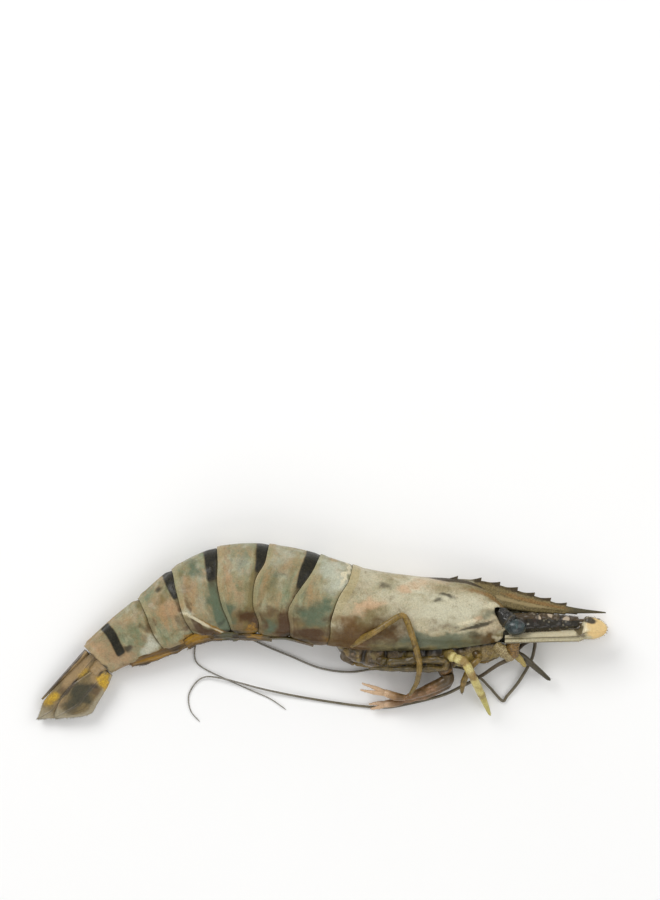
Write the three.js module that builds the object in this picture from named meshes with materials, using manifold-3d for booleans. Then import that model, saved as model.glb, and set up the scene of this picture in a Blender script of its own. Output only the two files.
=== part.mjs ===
// A raw tiger prawn, lying on its left side. Millimetres: +X towards the head, +Y towards the back, +Z up
// through the right flank. The underside of the left flank rests on z = 0, and the origin is under the
// middle of the animal.
//
// The body is built round a bent axis. A place on it is given by its station (the distance along the axis
// from the rear edge of the carapace: tailwards is positive, headwards negative), its rise (the distance
// from the axis towards the back) and its height z.
import * as THREE from "three";
import { LoftGeometry } from "three/addons/geometries/LoftGeometry.js";
import { mergeVertices } from "three/addons/utils/BufferGeometryUtils.js";
import Module from "manifold-3d";

// ---- Driving dimensions ----

const GAP = 0.3; // between neighbouring pieces
const SNUG = 0.1; // added to the gap where one piece is cut to another's shape

// The axis: it passes through AXIS_ORIGIN at station 0, and each stretch adds its length and its bend.
const AXIS_ORIGIN = { x: 8.67, y: 7.48 };
const HEADING_AT_ORIGIN = -15; // degrees, the way the head points
const CARAPACE_BENDS = [
  { length: 16, bend: 8 },
  { length: 38, bend: 4 },
];
const ABDOMEN_BENDS = [
  { length: 15.3, bend: 1 },
  { length: 15.8, bend: 9 },
  { length: 12.8, bend: 18 },
  { length: 11.6, bend: 12 },
  { length: 12.2, bend: 7 },
  { length: 22.4, bend: 6 },
];
const CARAPACE_LENGTH = 54;
const FOOTPRINT_MIDDLE = { x: 0.5, y: -1 };

// Body size by station: depth above and below the axis, and half the width.
const BODY = [
  { at: -54, up: 7, down: 5.2, half: 4.7 },
  { at: -50, up: 11.6, down: 6.4, half: 6.6 },
  { at: -42, up: 14.2, down: 8.5, half: 8.4 },
  { at: -30, up: 14.65, down: 10.7, half: 9.8 },
  { at: -16, up: 14.8, down: 12.9, half: 10.5 },
  { at: 0, up: 14.8, down: 15.2, half: 10.8 },
  { at: 15.3, up: 15.6, down: 15.6, half: 10.8 },
  { at: 31.1, up: 15.6, down: 16.3, half: 10.6 },
  { at: 43.9, up: 14.7, down: 15.2, half: 9.9 },
  { at: 55.5, up: 12.3, down: 12.4, half: 8.8 },
  { at: 67.7, up: 9.3, down: 11.4, half: 7.4 },
  { at: 79, up: 8, down: 9.4, half: 6.1 },
  { at: 90.1, up: 6.6, down: 7, half: 4.7 },
];
const REST_FLAT = 0.25; // how far the lowest flank is pressed flat where it rests
const HEAD_LIFT = 0.025; // fall of the mid plane per millimetre towards the rostrum
const BACK_ROUNDNESS = { rise: 0.9, side: 0.875 }; // 1 is an ellipse, less is boxier
const BELLY_ROUNDNESS = { rise: 0.78, side: 0.815 };
const BELLY_GROOVE = 0.16; // depth of the groove between the side flaps, as a share of the depth
const GROOVE_WIDTH = 0.36; // radians
const CARAPACE_STATIONS = [2.5, 8, 16, 24, 32, 40, 46, 50]; // rings between its two ends
const SEAM_FADE = 12; // the slant of its rear edge dies out this far forward

// Tail segments
const SEAM_SLANT = 2.5; // how far a seam runs tailwards on its way down the flank
const TAIL_END_SLANT = 1.9; // the last seam runs the other way
const RIM_FLARE = 0.35; // how far a rear rim stands out
const FRONT_TUCK = 0.3; // how far a front edge draws in
const FLAP_DROP = 0.9; // how far the side flaps hang below the belly
// How far each seam bows tailwards at these angles from the back: first the carapace's rear edge, last the
// end of the tail
const SEAM_ANGLES = [0, 0.6, 1, 1.4, 1.8, 2.2, 2.6, 3.15];
const SEAM_BOWS = [
  [0.9, 0.6, 0.6, 1.9, 1.9, 0.4, 0, 0],
  [-3.3, -2.8, -2.1, -0.3, 1.8, -0.6, -1.8, -2],
  [-3.3, -3.1, -2.8, -0.8, -1.2, -4.4, -5.2, -5.2],
  [-2.6, -2.5, -2.2, -1.5, -1.9, -3.7, -4.8, -4.8],
  [-0.6, -0.5, 0.1, 0.6, 1.2, 0.5, -0.5, -0.5],
  [0.8, 0.4, 0.5, 0.6, 1.2, 0.7, 0, 0],
  [0, 0, 0, 0, 0, 0, 0, 0],
];
// Along one segment: grow swells its skin, flap is a share of the flap drop
const SEGMENT_SHAPE = [
  { along: 0, grow: -FRONT_TUCK, flap: 0 },
  { along: 0.12, grow: 0, flap: 0.5 },
  { along: 0.4, grow: 0.1, flap: 1 },
  { along: 0.68, grow: 0.05, flap: 1 },
  { along: 0.88, grow: 0.15, flap: 0.6 },
  { along: 1, grow: RIM_FLARE, flap: 0.1 },
];

// Rostrum: rise of its crest and its keel by distance forward of the carapace's rear edge
const CREST = [
  { at: 27, rise: 14 },
  { at: 36, rise: 15.1 },
  { at: 46, rise: 15.1 },
  { at: 54, rise: 13.6 },
  { at: 66, rise: 10.5 },
  { at: 76, rise: 8 },
  { at: 88.8, rise: 6.75 },
];
const KEEL = [
  { at: 27, rise: 9.5 },
  { at: 36, rise: 9.3 },
  { at: 46, rise: 8.6 },
  { at: 53, rise: 6.3 },
  { at: 58, rise: 5.4 },
  { at: 64.5, rise: 5 },
  { at: 73.6, rise: 5.4 },
  { at: 80, rise: 5.8 },
  { at: 88.8, rise: 6.3 },
];
const ROSTRUM_THICKNESS = 2.6;
const ROSTRUM_TIP_THICKNESS = 0.9;
// Crowding under 1 sets the front teeth closer together than the rear ones
const TEETH = { first: 37, last: 75, count: 7, crowding: 0.85, height: 1.15 };
const KEEL_TEETH = { first: 71, last: 79, count: 3, crowding: 1, height: 0.4 };
const TOOTH = { root: 3.7, shoulder: 0.7, notch: 0.9, tipShare: 0.75 }; // distances behind its tip
const KEEL_CORNERS = [36, 46, 53, 58, 64.5]; // corners of the keel between the shell and its teeth

// Underside of the thorax, by distance forward
const STERNUM = { half: 3.8, frontHalf: 2.4, roundness: 0.7, sides: 14 };
const STERNUM_DEPTH = [
  { at: 6, top: -9, bottom: -17 },
  { at: 11, top: -8, bottom: -18.4 },
  { at: 20, top: -7, bottom: -18.3 },
  { at: 31, top: -6, bottom: -17 },
  { at: 42, top: -4, bottom: -14 },
  { at: 49, top: -3, bottom: -12.2 },
  { at: 53.6, top: -2.5, bottom: -10.4 },
];

// Head, by distance forward, rise and side
const EYE = { radius: 3.45, at: 58.2, rise: 0.25, side: 5.75, flatness: 0.86 };
const STALK = { radius: 1.8, endRadius: 2.25, at: 53.4, rise: 4.3, side: 4.4, intoEye: 0.4 };
const ORBIT = { radius: 5, at: 55.2, rise: 4.8, side: 6.3 };
const ANTENNULE = { from: 54.9, to: 79.2, rise: 2.1, side: 2.75, endSide: 2.15, radii: [2.3, 2.8, 2],
  flatness: 0.66 };
const ANTENNULE_WHIP = [
  { ahead: -2, spread: 0.6, side: 2, radius: 0.6 },
  { ahead: 3, spread: 1.3, side: 1.6, radius: 0.5 },
  { ahead: 8, spread: 2.5, side: 1.2, radius: 0.3 },
];
const SCALE_BLADE = { from: 54.8, to: 89.3, thickness: 1.1, rollFrom: 0.72, roundFrom: 0.8 };
// Rise and side of its two edges: at its root, at the far end of its level part and where it is rolled up
const SCALE_EDGES = {
  outer: { rise: [-5.4, -3.3, -2.7], side: [6.6, 7.6, 6] },
  inner: { rise: [-2.5, -1.45, 4.8], side: [1.4, 1, 5] },
};

const SWIMMERET = { side: 0.5, width: 5.4, thickness: 1, neck: 0.9, roundFrom: 0.95 };
const SWIMMERET_CLEARANCE = 1.2; // of its outer edge above the ground
// How far its inner edge hangs below the outer one, at its root and at its tip
const SWIMMERET_HANG = [[0.8, 0.5], [2.2, 1.6], [2.4, 1.8], [3.4, 2.5], [2.8, 0.6]];
const SWIMMERET_ROOT = 0.4; // share of its segment's length
const LAST_SWIMMERET = { length: 19, width: 4.2 };
const FAN_THICKNESS = 1.1;
const TELSON = { base: [-79.5, -7.5, 4.45], heading: 46.8, length: 22.4, fall: 0.7, half: 3.4, tipHalf: 0.3,
  narrowing: 1.2, thickness: 1.7 };

// ---- Small helpers ----

const radians = THREE.MathUtils.degToRad;
const lerp = THREE.MathUtils.lerp;
const { smoothstep } = THREE.MathUtils;
const signedPower = (value, power) => Math.sign(value) * Math.abs(value) ** power;

// Smooth reading of one column of a table of stations, without overshoot at its ends.
function readTable(table, at, key) {
  const last = table.length - 1;
  if (at <= table[0].at) return table[0][key];
  if (at >= table[last].at) return table[last][key];
  const i = table.findIndex((row) => row.at > at) - 1;
  const span = table[i + 1].at - table[i].at;
  const slope = (a, b) => (table[b][key] - table[a][key]) / (table[b].at - table[a].at);
  const startSlope = i === 0 ? slope(0, 1) : slope(i - 1, i + 1);
  const endSlope = i + 1 === last ? slope(last - 1, last) : slope(i, i + 2);
  const t = (at - table[i].at) / span;
  const held = (1 + 2 * t) * (1 - t) ** 2 * table[i][key] + t * t * (3 - 2 * t) * table[i + 1][key];
  return held + span * (t * (1 - t) ** 2 * startSlope - t * t * (1 - t) * endSlope);
}

// ---- Body axis ----

// Each arc starts at a known point and heading and turns evenly; sign is +1 tailwards, -1 headwards.
function makeArcs(bends, sign) {
  let point = { ...AXIS_ORIGIN };
  let heading = radians(HEADING_AT_ORIGIN);
  let start = 0;
  return bends.map(({ length, bend }) => {
    const arc = { start, point, heading, turn: radians(bend) / length, sign };
    point = pointOnArc(arc, length);
    heading += radians(bend);
    start += length;
    return arc;
  });
}

function pointOnArc({ point, heading, turn, sign }, distance) {
  const end = heading + turn * distance;
  return {
    x: point.x - (sign * (Math.sin(end) - Math.sin(heading))) / turn,
    y: point.y + (sign * (Math.cos(end) - Math.cos(heading))) / turn,
  };
}

const tailArcs = makeArcs(ABDOMEN_BENDS, 1);
const headArcs = makeArcs(CARAPACE_BENDS, -1);

// Point and heading of the axis at a station; past the last carapace bend it runs on straight.
function axisAt(station) {
  const distance = Math.abs(station);
  const arcs = station < 0 ? headArcs : tailArcs;
  const bent = station < 0 ? Math.min(distance, CARAPACE_LENGTH) : distance;
  const arc = arcs.findLast((candidate) => bent >= candidate.start);
  const along = bent - arc.start;
  const { x, y } = pointOnArc(arc, along);
  const heading = arc.heading + arc.turn * along;
  const straight = distance - bent;
  return { x: x + straight * Math.cos(heading), y: y + straight * Math.sin(heading), heading };
}

function midHeight(station) {
  if (station >= 0) return readTable(BODY, station, "half") - REST_FLAT;
  return readTable(BODY, 0, "half") - REST_FLAT + HEAD_LIFT * station;
}

// World point of a station, a rise from the axis and a side distance from the mid plane.
function bodyPlace(station, rise, side) {
  const { x, y, heading } = axisAt(station);
  return new THREE.Vector3(
    x - rise * Math.sin(heading),
    y + rise * Math.cos(heading),
    Math.max(midHeight(station) + side, 0),
  );
}

// Rise and side of the body's skin at an angle round the axis: 0 is the back, PI the belly.
function skinAt(station, angle, grow = 0) {
  const up = readTable(BODY, station, "up") + grow;
  const down = readTable(BODY, station, "down") + grow;
  const half = readTable(BODY, station, "half") + grow;
  const onBack = Math.cos(angle) >= 0;
  const roundness = onBack ? BACK_ROUNDNESS : BELLY_ROUNDNESS;
  const groove = BELLY_GROOVE * Math.exp(-(((angle - Math.PI) / GROOVE_WIDTH) ** 2));
  return {
    rise: (onBack ? up : down * (1 - groove)) * signedPower(Math.cos(angle), roundness.rise),
    side: half * signedPower(Math.sin(angle), roundness.side),
  };
}

const STATION_STEP = 0.5;
const ANGLE_STEP = 0.05;

// Height of the right flank's skin over a point of the ground, or 0 beside the body.
function flankHeight(x, y) {
  const forwardOf = ({ x: axisX, y: axisY, heading }) =>
    Math.abs((x - axisX) * Math.cos(heading) + (y - axisY) * Math.sin(heading));
  let station = 0;
  for (let next = -CARAPACE_LENGTH; next < 0; next += STATION_STEP) {
    if (forwardOf(axisAt(next)) < forwardOf(axisAt(station))) station = next;
  }
  const axis = axisAt(station);
  const rise = (y - axis.y) * Math.cos(axis.heading) - (x - axis.x) * Math.sin(axis.heading);
  for (let angle = ANGLE_STEP; angle < Math.PI; angle += ANGLE_STEP) {
    const here = skinAt(station, angle);
    const next = skinAt(station, angle + ANGLE_STEP);
    if (here.rise >= rise && next.rise < rise) return midHeight(station) + Math.max(here.side, next.side);
  }
  return 0;
}

// ---- Solids ----

const wasm = await Module();
wasm.setup();

// Position and index only, with shared corners merged and collapsed triangles left out.
function closed(geometry) {
  const bare = new THREE.BufferGeometry();
  bare.setAttribute("position", geometry.attributes.position);
  bare.setIndex(geometry.index);
  const merged = mergeVertices(bare, 1e-3);
  const corners = merged.index.array;
  const kept = [];
  for (let i = 0; i < corners.length; i += 3) {
    const [a, b, c] = corners.slice(i, i + 3);
    if (a !== b && b !== c && c !== a) kept.push(a, b, c);
  }
  merged.setIndex(kept);
  return merged;
}

function volumeOf(geometry) {
  const corner = Array.from({ length: 3 }, () => new THREE.Vector3());
  const { position } = geometry.attributes;
  let volume = 0;
  for (let i = 0; i < geometry.index.count; i += 3) {
    corner.forEach((point, j) => point.fromBufferAttribute(position, geometry.index.getX(i + j)));
    volume += corner[0].dot(corner[1].clone().cross(corner[2])) / 6;
  }
  return volume;
}

function solidOf(geometry) {
  const merged = closed(geometry);
  return new wasm.Manifold(
    new wasm.Mesh({
      numProp: 3,
      vertProperties: new Float32Array(merged.attributes.position.array),
      triVerts: new Uint32Array(merged.index.array),
    }),
  );
}

function geometryOf(solid) {
  const { vertProperties, triVerts } = solid.getMesh();
  const geometry = new THREE.BufferGeometry();
  geometry.setAttribute("position", new THREE.BufferAttribute(vertProperties, 3));
  geometry.setIndex(new THREE.BufferAttribute(triVerts, 1));
  geometry.computeVertexNormals();
  return geometry;
}

const joined = (...geometries) =>
  geometryOf(geometries.map(solidOf).reduce((whole, piece) => whole.add(piece)));
const cutBy = (geometry, ...cutters) =>
  geometryOf(cutters.map(solidOf).reduce((left, cutter) => left.subtract(cutter), solidOf(geometry)));

// Skin through rings of points. Each end runs in to a pole, which is the middle of its ring unless given.
function skinned(rings, poles = [middleOf(rings[0]), middleOf(rings[rings.length - 1])]) {
  const [start, end] = poles.map((pole) => rings[0].map(() => pole));
  const skin = closed(new LoftGeometry([start, ...rings, end]));
  if (volumeOf(skin) < 0) skin.setIndex([...skin.index.array].reverse());
  skin.computeVertexNormals();
  return skin;
}

function middleOf(ring) {
  return ring.reduce((sum, point) => sum.add(point), new THREE.Vector3()).divideScalar(ring.length);
}

// A round or flattened limb along a curve. Radii are given at the curve's own points.
function limb(points, radii, { steps = 12, sides = 8, flatness = 1, tension = 0.25 } = {}) {
  const curve = new THREE.CatmullRomCurve3(points, false, "catmullrom", tension);
  const up = new THREE.Vector3(0, 0, 1);
  const rings = [];
  for (let step = 0; step <= steps; step++) {
    const t = step / steps;
    const along = t * (radii.length - 1);
    const before = Math.min(Math.floor(along), radii.length - 2);
    const radius = lerp(radii[before], radii[before + 1], along - before);
    const tangent = curve.getTangent(t);
    const across = new THREE.Vector3().crossVectors(tangent, up).normalize();
    const over = new THREE.Vector3().crossVectors(across, tangent);
    const centre = curve.getPoint(t);
    rings.push(ringOf(centre, across.multiplyScalar(radius), over.multiplyScalar(radius * flatness), sides));
  }
  return skinned(rings);
}

function ringOf(centre, across, over, sides) {
  return Array.from({ length: sides }, (_, i) => {
    const angle = (i / sides) * 2 * Math.PI;
    return centre.clone().addScaledVector(across, Math.cos(angle)).addScaledVector(over, Math.sin(angle));
  });
}

const TIP_CROWDING = 1.4; // over 1 sets a blade's rings closer together towards its tip
const TIP_THINNING = 0.6;
const LEAST_WIDTH = 0.12;

// A thin blade between two edges, lens-shaped in section.
function blade(edgeAt, thickness, { steps = 9, sides = 10 } = {}) {
  const rings = [];
  for (let step = 0; step <= steps; step++) {
    const t = 1 - (1 - step / steps) ** TIP_CROWDING;
    const { left, right, ahead } = edgeAt(t);
    const across = right.clone().sub(left).multiplyScalar(0.5);
    const half = (thickness / 2) * lerp(1, TIP_THINNING, t);
    const over = new THREE.Vector3().crossVectors(across, ahead).setLength(half);
    rings.push(ringOf(left.clone().add(across), across, over, sides));
  }
  return skinned(rings);
}

// Share of its width that a blade keeps at t when its end is rounded off past `from`.
function roundedOff(t, from) {
  const past = Math.max(t - from, 0) / (1 - from);
  return Math.max(Math.sqrt(Math.max(1 - past * past, 0)), LEAST_WIDTH);
}

// ---- Shell of the body ----

const RING_SIDES = 28;

// A ring of the skin. Its size is read where its bow puts each point along the axis; a shift only moves it.
function bodyRing({ station, bow, shift, grow = 0, drop = 0 }) {
  return Array.from({ length: RING_SIDES }, (_, i) => {
    const angle = (i / RING_SIDES) * 2 * Math.PI;
    const here = station + bow(angle);
    const { rise, side } = skinAt(here, angle, grow);
    const flap = drop * Math.max(-Math.cos(angle), 0) ** 2;
    return bodyPlace(here + shift(angle), rise - flap, side);
  });
}

const segmentStart = (index) => ABDOMEN_BENDS.slice(0, index).reduce((sum, { length }) => sum + length, 0);
const seamShift = (angle) => SEAM_SLANT * ((1 - Math.cos(angle)) / 2) ** 1.5;
const tailEndShift = (angle) => TAIL_END_SLANT * ((1 + Math.cos(angle)) / 2);
const seamTables = SEAM_BOWS.map((bows) => bows.map((bow, i) => ({ at: SEAM_ANGLES[i], bow })));
const seamBow = (seam, angle) => readTable(seamTables[seam], Math.min(angle, 2 * Math.PI - angle), "bow");

// A piece of the body between two seams; each end face runs in to a point of the body's axis.
function bodyPiece(profile) {
  const poles = [profile[0], profile[profile.length - 1]].map(({ station, bow }) =>
    bodyPlace(station + bow(Math.PI / 2), 0, 0),
  );
  return skinned(profile.map(bodyRing), poles);
}

function tailSegment(index) {
  const start = segmentStart(index);
  const { length } = ABDOMEN_BENDS[index];
  const isLast = index === ABDOMEN_BENDS.length - 1;
  const rearShift = isLast ? tailEndShift : seamShift;
  const profile = SEGMENT_SHAPE.map(({ along, grow, flap }) => ({
    station: lerp(start + GAP / 2, start + length - GAP / 2, along),
    bow: (angle) => lerp(seamBow(index, angle), seamBow(index + 1, angle), along),
    shift: (angle) => lerp(seamShift(angle), rearShift(angle), along),
    grow,
    drop: isLast ? 0 : flap * FLAP_DROP,
  }));
  return bodyPiece(profile);
}

function carapaceShell(grow = 0) {
  const stations = [GAP / 2 - grow, ...CARAPACE_STATIONS, CARAPACE_LENGTH + grow];
  const profile = stations.map((at, i) => ({
    station: -at,
    bow: (angle) => seamBow(0, angle) * (1 - smoothstep(at, 0, SEAM_FADE)),
    shift: (angle) => seamShift(angle) * (1 - smoothstep(at, 0, SEAM_FADE)),
    grow: grow + (i === 0 ? RIM_FLARE : 0),
  }));
  return bodyPiece(profile);
}

const rostrumTip = CREST[CREST.length - 1].at;
const edgePoint = (at, edge, out = 0) => new THREE.Vector2(at, readTable(edge, at, "rise") + out);

// One edge's teeth, each rising slowly from its root and falling back steeply behind its tip.
function toothRow({ first, last, count, crowding, height }, edge, way) {
  return Array.from({ length: count }, (_, i) => {
    const at = lerp(first, last, (i / (count - 1)) ** crowding);
    return [
      edgePoint(at - TOOTH.root, edge),
      edgePoint(at - TOOTH.shoulder, edge, way * height),
      edgePoint(at, edge, way * height * TOOTH.tipShare),
      edgePoint(at - TOOTH.notch, edge),
    ];
  }).flat();
}

// Side outline of the rostrum, as distance forward and rise, with its teeth pointing forward.
function rostrumOutline() {
  const start = CREST[0].at;
  return [
    edgePoint(start, KEEL),
    edgePoint(start, CREST),
    ...toothRow(TEETH, CREST, 1),
    edgePoint(rostrumTip, CREST),
    edgePoint(rostrumTip, KEEL),
    ...toothRow(KEEL_TEETH, KEEL, -1).reverse(),
    ...KEEL_CORNERS.map((at) => edgePoint(at, KEEL)).reverse(),
  ];
}

const ROSTRUM_THINS_FROM = 44;

// The rostrum is a flat plate cut to its outline, thinned towards its tip and laid along the body's axis.
function rostrum() {
  const plate = new THREE.ExtrudeGeometry(new THREE.Shape(rostrumOutline()), {
    depth: 1,
    steps: 1,
    bevelEnabled: false,
  });
  const place = plate.attributes.position;
  for (let i = 0; i < place.count; i++) {
    const at = place.getX(i);
    const thinning = smoothstep(at, ROSTRUM_THINS_FROM, rostrumTip);
    const thickness = lerp(ROSTRUM_THICKNESS, ROSTRUM_TIP_THICKNESS, thinning);
    const world = bodyPlace(-at, place.getY(i), (place.getZ(i) - 0.5) * thickness);
    place.setXYZ(i, world.x, world.y, world.z);
  }
  return plate;
}

// ---- Underside of the thorax ----

function sternum() {
  const { half, frontHalf, roundness, sides } = STERNUM;
  const rings = STERNUM_DEPTH.map(({ at, top, bottom }) => {
    const width = lerp(half, frontHalf, at / CARAPACE_LENGTH);
    return Array.from({ length: sides }, (_, i) => {
      const angle = (i / sides) * 2 * Math.PI;
      const rise = lerp(bottom, top, 0.5 + 0.5 * signedPower(Math.cos(angle), roundness));
      return bodyPlace(-at, rise, width * signedPower(Math.sin(angle), roundness));
    });
  });
  return cutBy(skinned(rings), carapaceShell(GAP + SNUG));
}

// ---- Head ----

function ballAt(centre, radius, flatness = 1) {
  const ball = new THREE.SphereGeometry(radius, 16, 10);
  ball.rotateX(Math.PI / 2);
  ball.scale(1, 1, flatness);
  return ball.translate(centre.x, centre.y, centre.z);
}

const headPlace = ({ at, rise }, side) => bodyPlace(-at, rise, side);
const eyeball = (side, grow) => ballAt(headPlace(EYE, side * EYE.side), EYE.radius + grow, EYE.flatness);
const orbit = (side) => ballAt(headPlace(ORBIT, side * ORBIT.side), ORBIT.radius);

function eye(side, grow = 0) {
  const root = headPlace(STALK, side * STALK.side);
  const end = headPlace(EYE, side * (EYE.side - STALK.intoEye));
  const stalk = limb([root, end], [STALK.radius + grow, STALK.endRadius + grow], { steps: 3 });
  return joined(eyeball(side, grow), stalk);
}

function antennule(side) {
  const { from, to, rise, side: out, endSide, radii, flatness } = ANTENNULE;
  const stalk = [
    headPlace({ at: from, rise }, side * out),
    headPlace({ at: lerp(from, to, 0.5), rise }, side * out),
    headPlace({ at: to, rise }, side * endSide),
  ];
  const whips = [1, -1].map((way) => {
    const points = ANTENNULE_WHIP.map((row) =>
      headPlace({ at: to + row.ahead, rise: rise + way * row.spread }, side * row.side),
    );
    return limb(points, ANTENNULE_WHIP.map((row) => row.radius), { steps: 5, sides: 6 });
  });
  const peduncle = limb(stalk, radii, { steps: 6, sides: 12, flatness });
  return cutBy(joined(peduncle, ...whips), eye(side, GAP + SNUG));
}

// Side blade of the antenna: nearly level across the head, rolled up on edge and rounded at its tip.
function antennalScale(side) {
  const { from, to, thickness, rollFrom, roundFrom } = SCALE_BLADE;
  const edgeAt = (t) => {
    const at = lerp(from, to, t);
    const level = Math.min(t / roundFrom, 1);
    const roll = smoothstep(t, rollFrom, roundFrom);
    const blend = ([root, flat, rolled]) => lerp(lerp(root, flat, level), rolled, roll);
    const place = ({ rise, side: out }) => bodyPlace(-at, blend(rise), side * blend(out));
    const outer = place(SCALE_EDGES.outer);
    const inner = place(SCALE_EDGES.inner);
    const inset = (1 - roundedOff(t, roundFrom)) / 2;
    return {
      left: inner.clone().lerp(outer, inset),
      right: outer.clone().lerp(inner, inset),
      ahead: bodyPlace(-at - 1, 0, 0).sub(bodyPlace(-at, 0, 0)),
    };
  };
  return blade(edgeAt, thickness, { steps: 14, sides: 10 });
}

const vectors = (points) => points.map(([x, y, z]) => new THREE.Vector3(x, y, z));

// Each antenna has a short thick base under its scale and one long thin whip that trails back along the legs.
const ANTENNAE = {
  right: {
    base: [[63, -6.4, 13.4], [65.6, -7.4, 13.2], [66.4, -9.6, 12.6]],
    palp: [[66.4, -8.4, 12.4], [68.4, -10.4, 11.9], [69.9, -12.6, 11.4]],
    whip: [[66, -9.3, 12.4], [60.5, -11.9, 10.6], [55.1, -15.6, 8], [48.3, -19.4, 5.8], [40.8, -22.8, 2.6],
      [27.2, -26.1, 0.9], [20.4, -26.7, 0.7], [10.2, -25.8, 0.6], [-6.8, -23.1, 0.9], [-19.7, -20.4, 1.6],
      [-27.2, -18.4, 1.7], [-34, -16.7, 1.6], [-39.1, -16.3, 1.1], [-42.5, -18.4, 0.5], [-44.9, -22.8, 0.4],
      [-44.2, -27.9, 0.4], [-41.1, -31.6, 0.4]],
  },
  left: {
    base: [[63, -6.4, 3.8], [65.6, -7.2, 3.6], [66.8, -8.4, 3.5]],
    palp: [[66.2, -8.2, 3.7], [67.6, -9.7, 3.3], [68.8, -11.4, 2.8]],
    whip: [[66.4, -8, 3.8], [69, -5.2, 5.2], [71.6, -3.9, 6], [73.2, -4.2, 5.7], [73, -7, 4],
      [71.9, -10.9, 2.2], [68, -17.7, 1.6],
      [63.9, -22.8, 1], [62.2, -24.4, 0.9], [57.8, -19.7, 1.5], [53.7, -16, 2.1], [45.9, -12.9, 1.9],
      [27.2, -13.4, 0.9], [19.7, -13.4, 0.8], [10.2, -14.6, 0.7], [0, -13.3, 0.6], [-10.2, -9.2, 0.55],
      [-19.4, -5.4, 0.5], [-28.9, -1, 0.5], [-38, -0.8, 0.5], [-42, -4.2, 0.5], [-42.8, -9.6, 0.5],
      [-40.5, -12.9, 0.45], [-32.3, -17, 0.4], [-23.1, -21.1, 0.4], [-17, -23.8, 0.4], [-11.6, -27.5, 0.4]],
  },
};

const ANTENNA_RADII = { base: [2, 2.1, 1.3], palp: [1.1, 1, 0.5] };
const PALP_FLATNESS = 0.7;
const WHIP = { rootRadius: 0.85, tipRadius: 0.26, taper: 0.6, tension: 0.5, stepsPerPoint: 2.3 };

function antenna(sideName) {
  const { base, palp, whip } = ANTENNAE[sideName];
  const last = whip.length - 1;
  const radii = whip.map((_, i) => lerp(WHIP.rootRadius, WHIP.tipRadius, (i / last) ** WHIP.taper));
  const steps = Math.round(whip.length * WHIP.stepsPerPoint);
  return joined(
    limb(vectors(base), ANTENNA_RADII.base, { steps: 6, sides: 10 }),
    limb(vectors(palp), ANTENNA_RADII.palp, { steps: 4, sides: 8, flatness: PALP_FLATNESS }),
    limb(vectors(whip), radii, { steps, sides: 6, tension: WHIP.tension }),
  );
}

// ---- Legs ----

// Joints from the hip to the foot and the radius at each. Right legs lie above the left ones.
const LEGS = {
  maxilliped_right: {
    joints: [[62.9, -8.1, 9.7], [67.6, -8.4, 9.4], [72.1, -11.8, 8.4], [78.5, -17.3, 5.6]],
    radii: [1.2, 1.15, 1.05, 0.6],
  },
  maxilliped_left: {
    joints: [[62.9, -8.1, 7], [67.6, -8.4, 6.7], [71.8, -11.6, 5.2], [76.6, -15.7, 1.4]],
    radii: [1, 1, 0.9, 0.5],
  },
  leg_1_right: {
    joints: [[54.4, -9.4, 13.2], [51, -12.9, 13.2], [48.7, -18.2, 9.6], [48.3, -21.8, 7.6]],
    radii: [1, 1.1, 0.95, 0.45],
  },
  leg_1_left: {
    joints: [[53, -10.2, 5], [56.4, -10.6, 4.8], [61, -9, 4.2]],
    radii: [1, 0.95, 0.5],
  },
  leg_2_right: {
    joints: [[45.6, -9.4, 17.2], [49, -10.7, 17.2], [51.7, -15.5, 16.2], [55, -22.2, 10.4],
      [58.1, -29.4, 4.6]],
    radii: [1.4, 1.45, 1.35, 1.3, 0.4],
  },
  leg_2_left: {
    joints: [[46.2, -11, 4.6], [49.2, -12, 4.9], [51.8, -15.7, 4.9], [54.3, -21.3, 3.1], [57, -27.5, 1.3]],
    radii: [1.1, 1.1, 1, 1, 0.4],
  },
  leg_4_right: {
    joints: [[22.5, -10.9, 15.5], [32, -10.2, 15.6], [42.2, -10.3, 15.5], [41.8, -13, 14.9],
      [30, -13.3, 15.2], [16.5, -13, 15]],
    radii: [1.25, 1.3, 1.15, 1, 0.9, 0.55],
  },
  leg_4_left: {
    joints: [[23, -9.7, 4.4], [32, -9.7, 4.1], [41.5, -10, 3.9]],
    radii: [1.1, 1.1, 0.7],
  },
  leg_5_left: {
    joints: [[11.8, -11.3, 5], [21, -12.4, 3.7], [38.5, -12.5, 3.5]],
    radii: [1.1, 1, 0.7],
  },
};
const STEPS_PER_JOINT = 4;

function leg({ joints, radii }) {
  return limb(vectors(joints), radii, { steps: STEPS_PER_JOINT * (joints.length - 1), tension: 0.3 });
}

// The last right leg is bent up over the carapace, so its points are lifted clear of the flank.
const DRAPED_LEG = {
  joints: [[9.2, -5.6, 15], [18.5, -0.4, 15], [27.9, 5.2, 15], [31.2, -1.6, 15], [33.6, -10.2, 18.9],
    [33.6, -14, 17.8], [32.8, -18, 14], [30.4, -22.3, 12.2]],
  radii: [1.45, 0.95, 1, 1.05, 0.95, 0.9, 0.82, 0.55],
};
const DRAPED_LIFT = 0.8; // room for the flank's curve between two joints

function drapedLeg() {
  const { joints, radii } = DRAPED_LEG;
  const lifted = vectors(joints).map((joint, i) => {
    joint.z = Math.max(joint.z, flankHeight(joint.x, joint.y) + radii[i] + GAP + DRAPED_LIFT);
    return joint;
  });
  return limb(lifted, radii, { steps: 24, tension: 0.35 });
}

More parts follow.
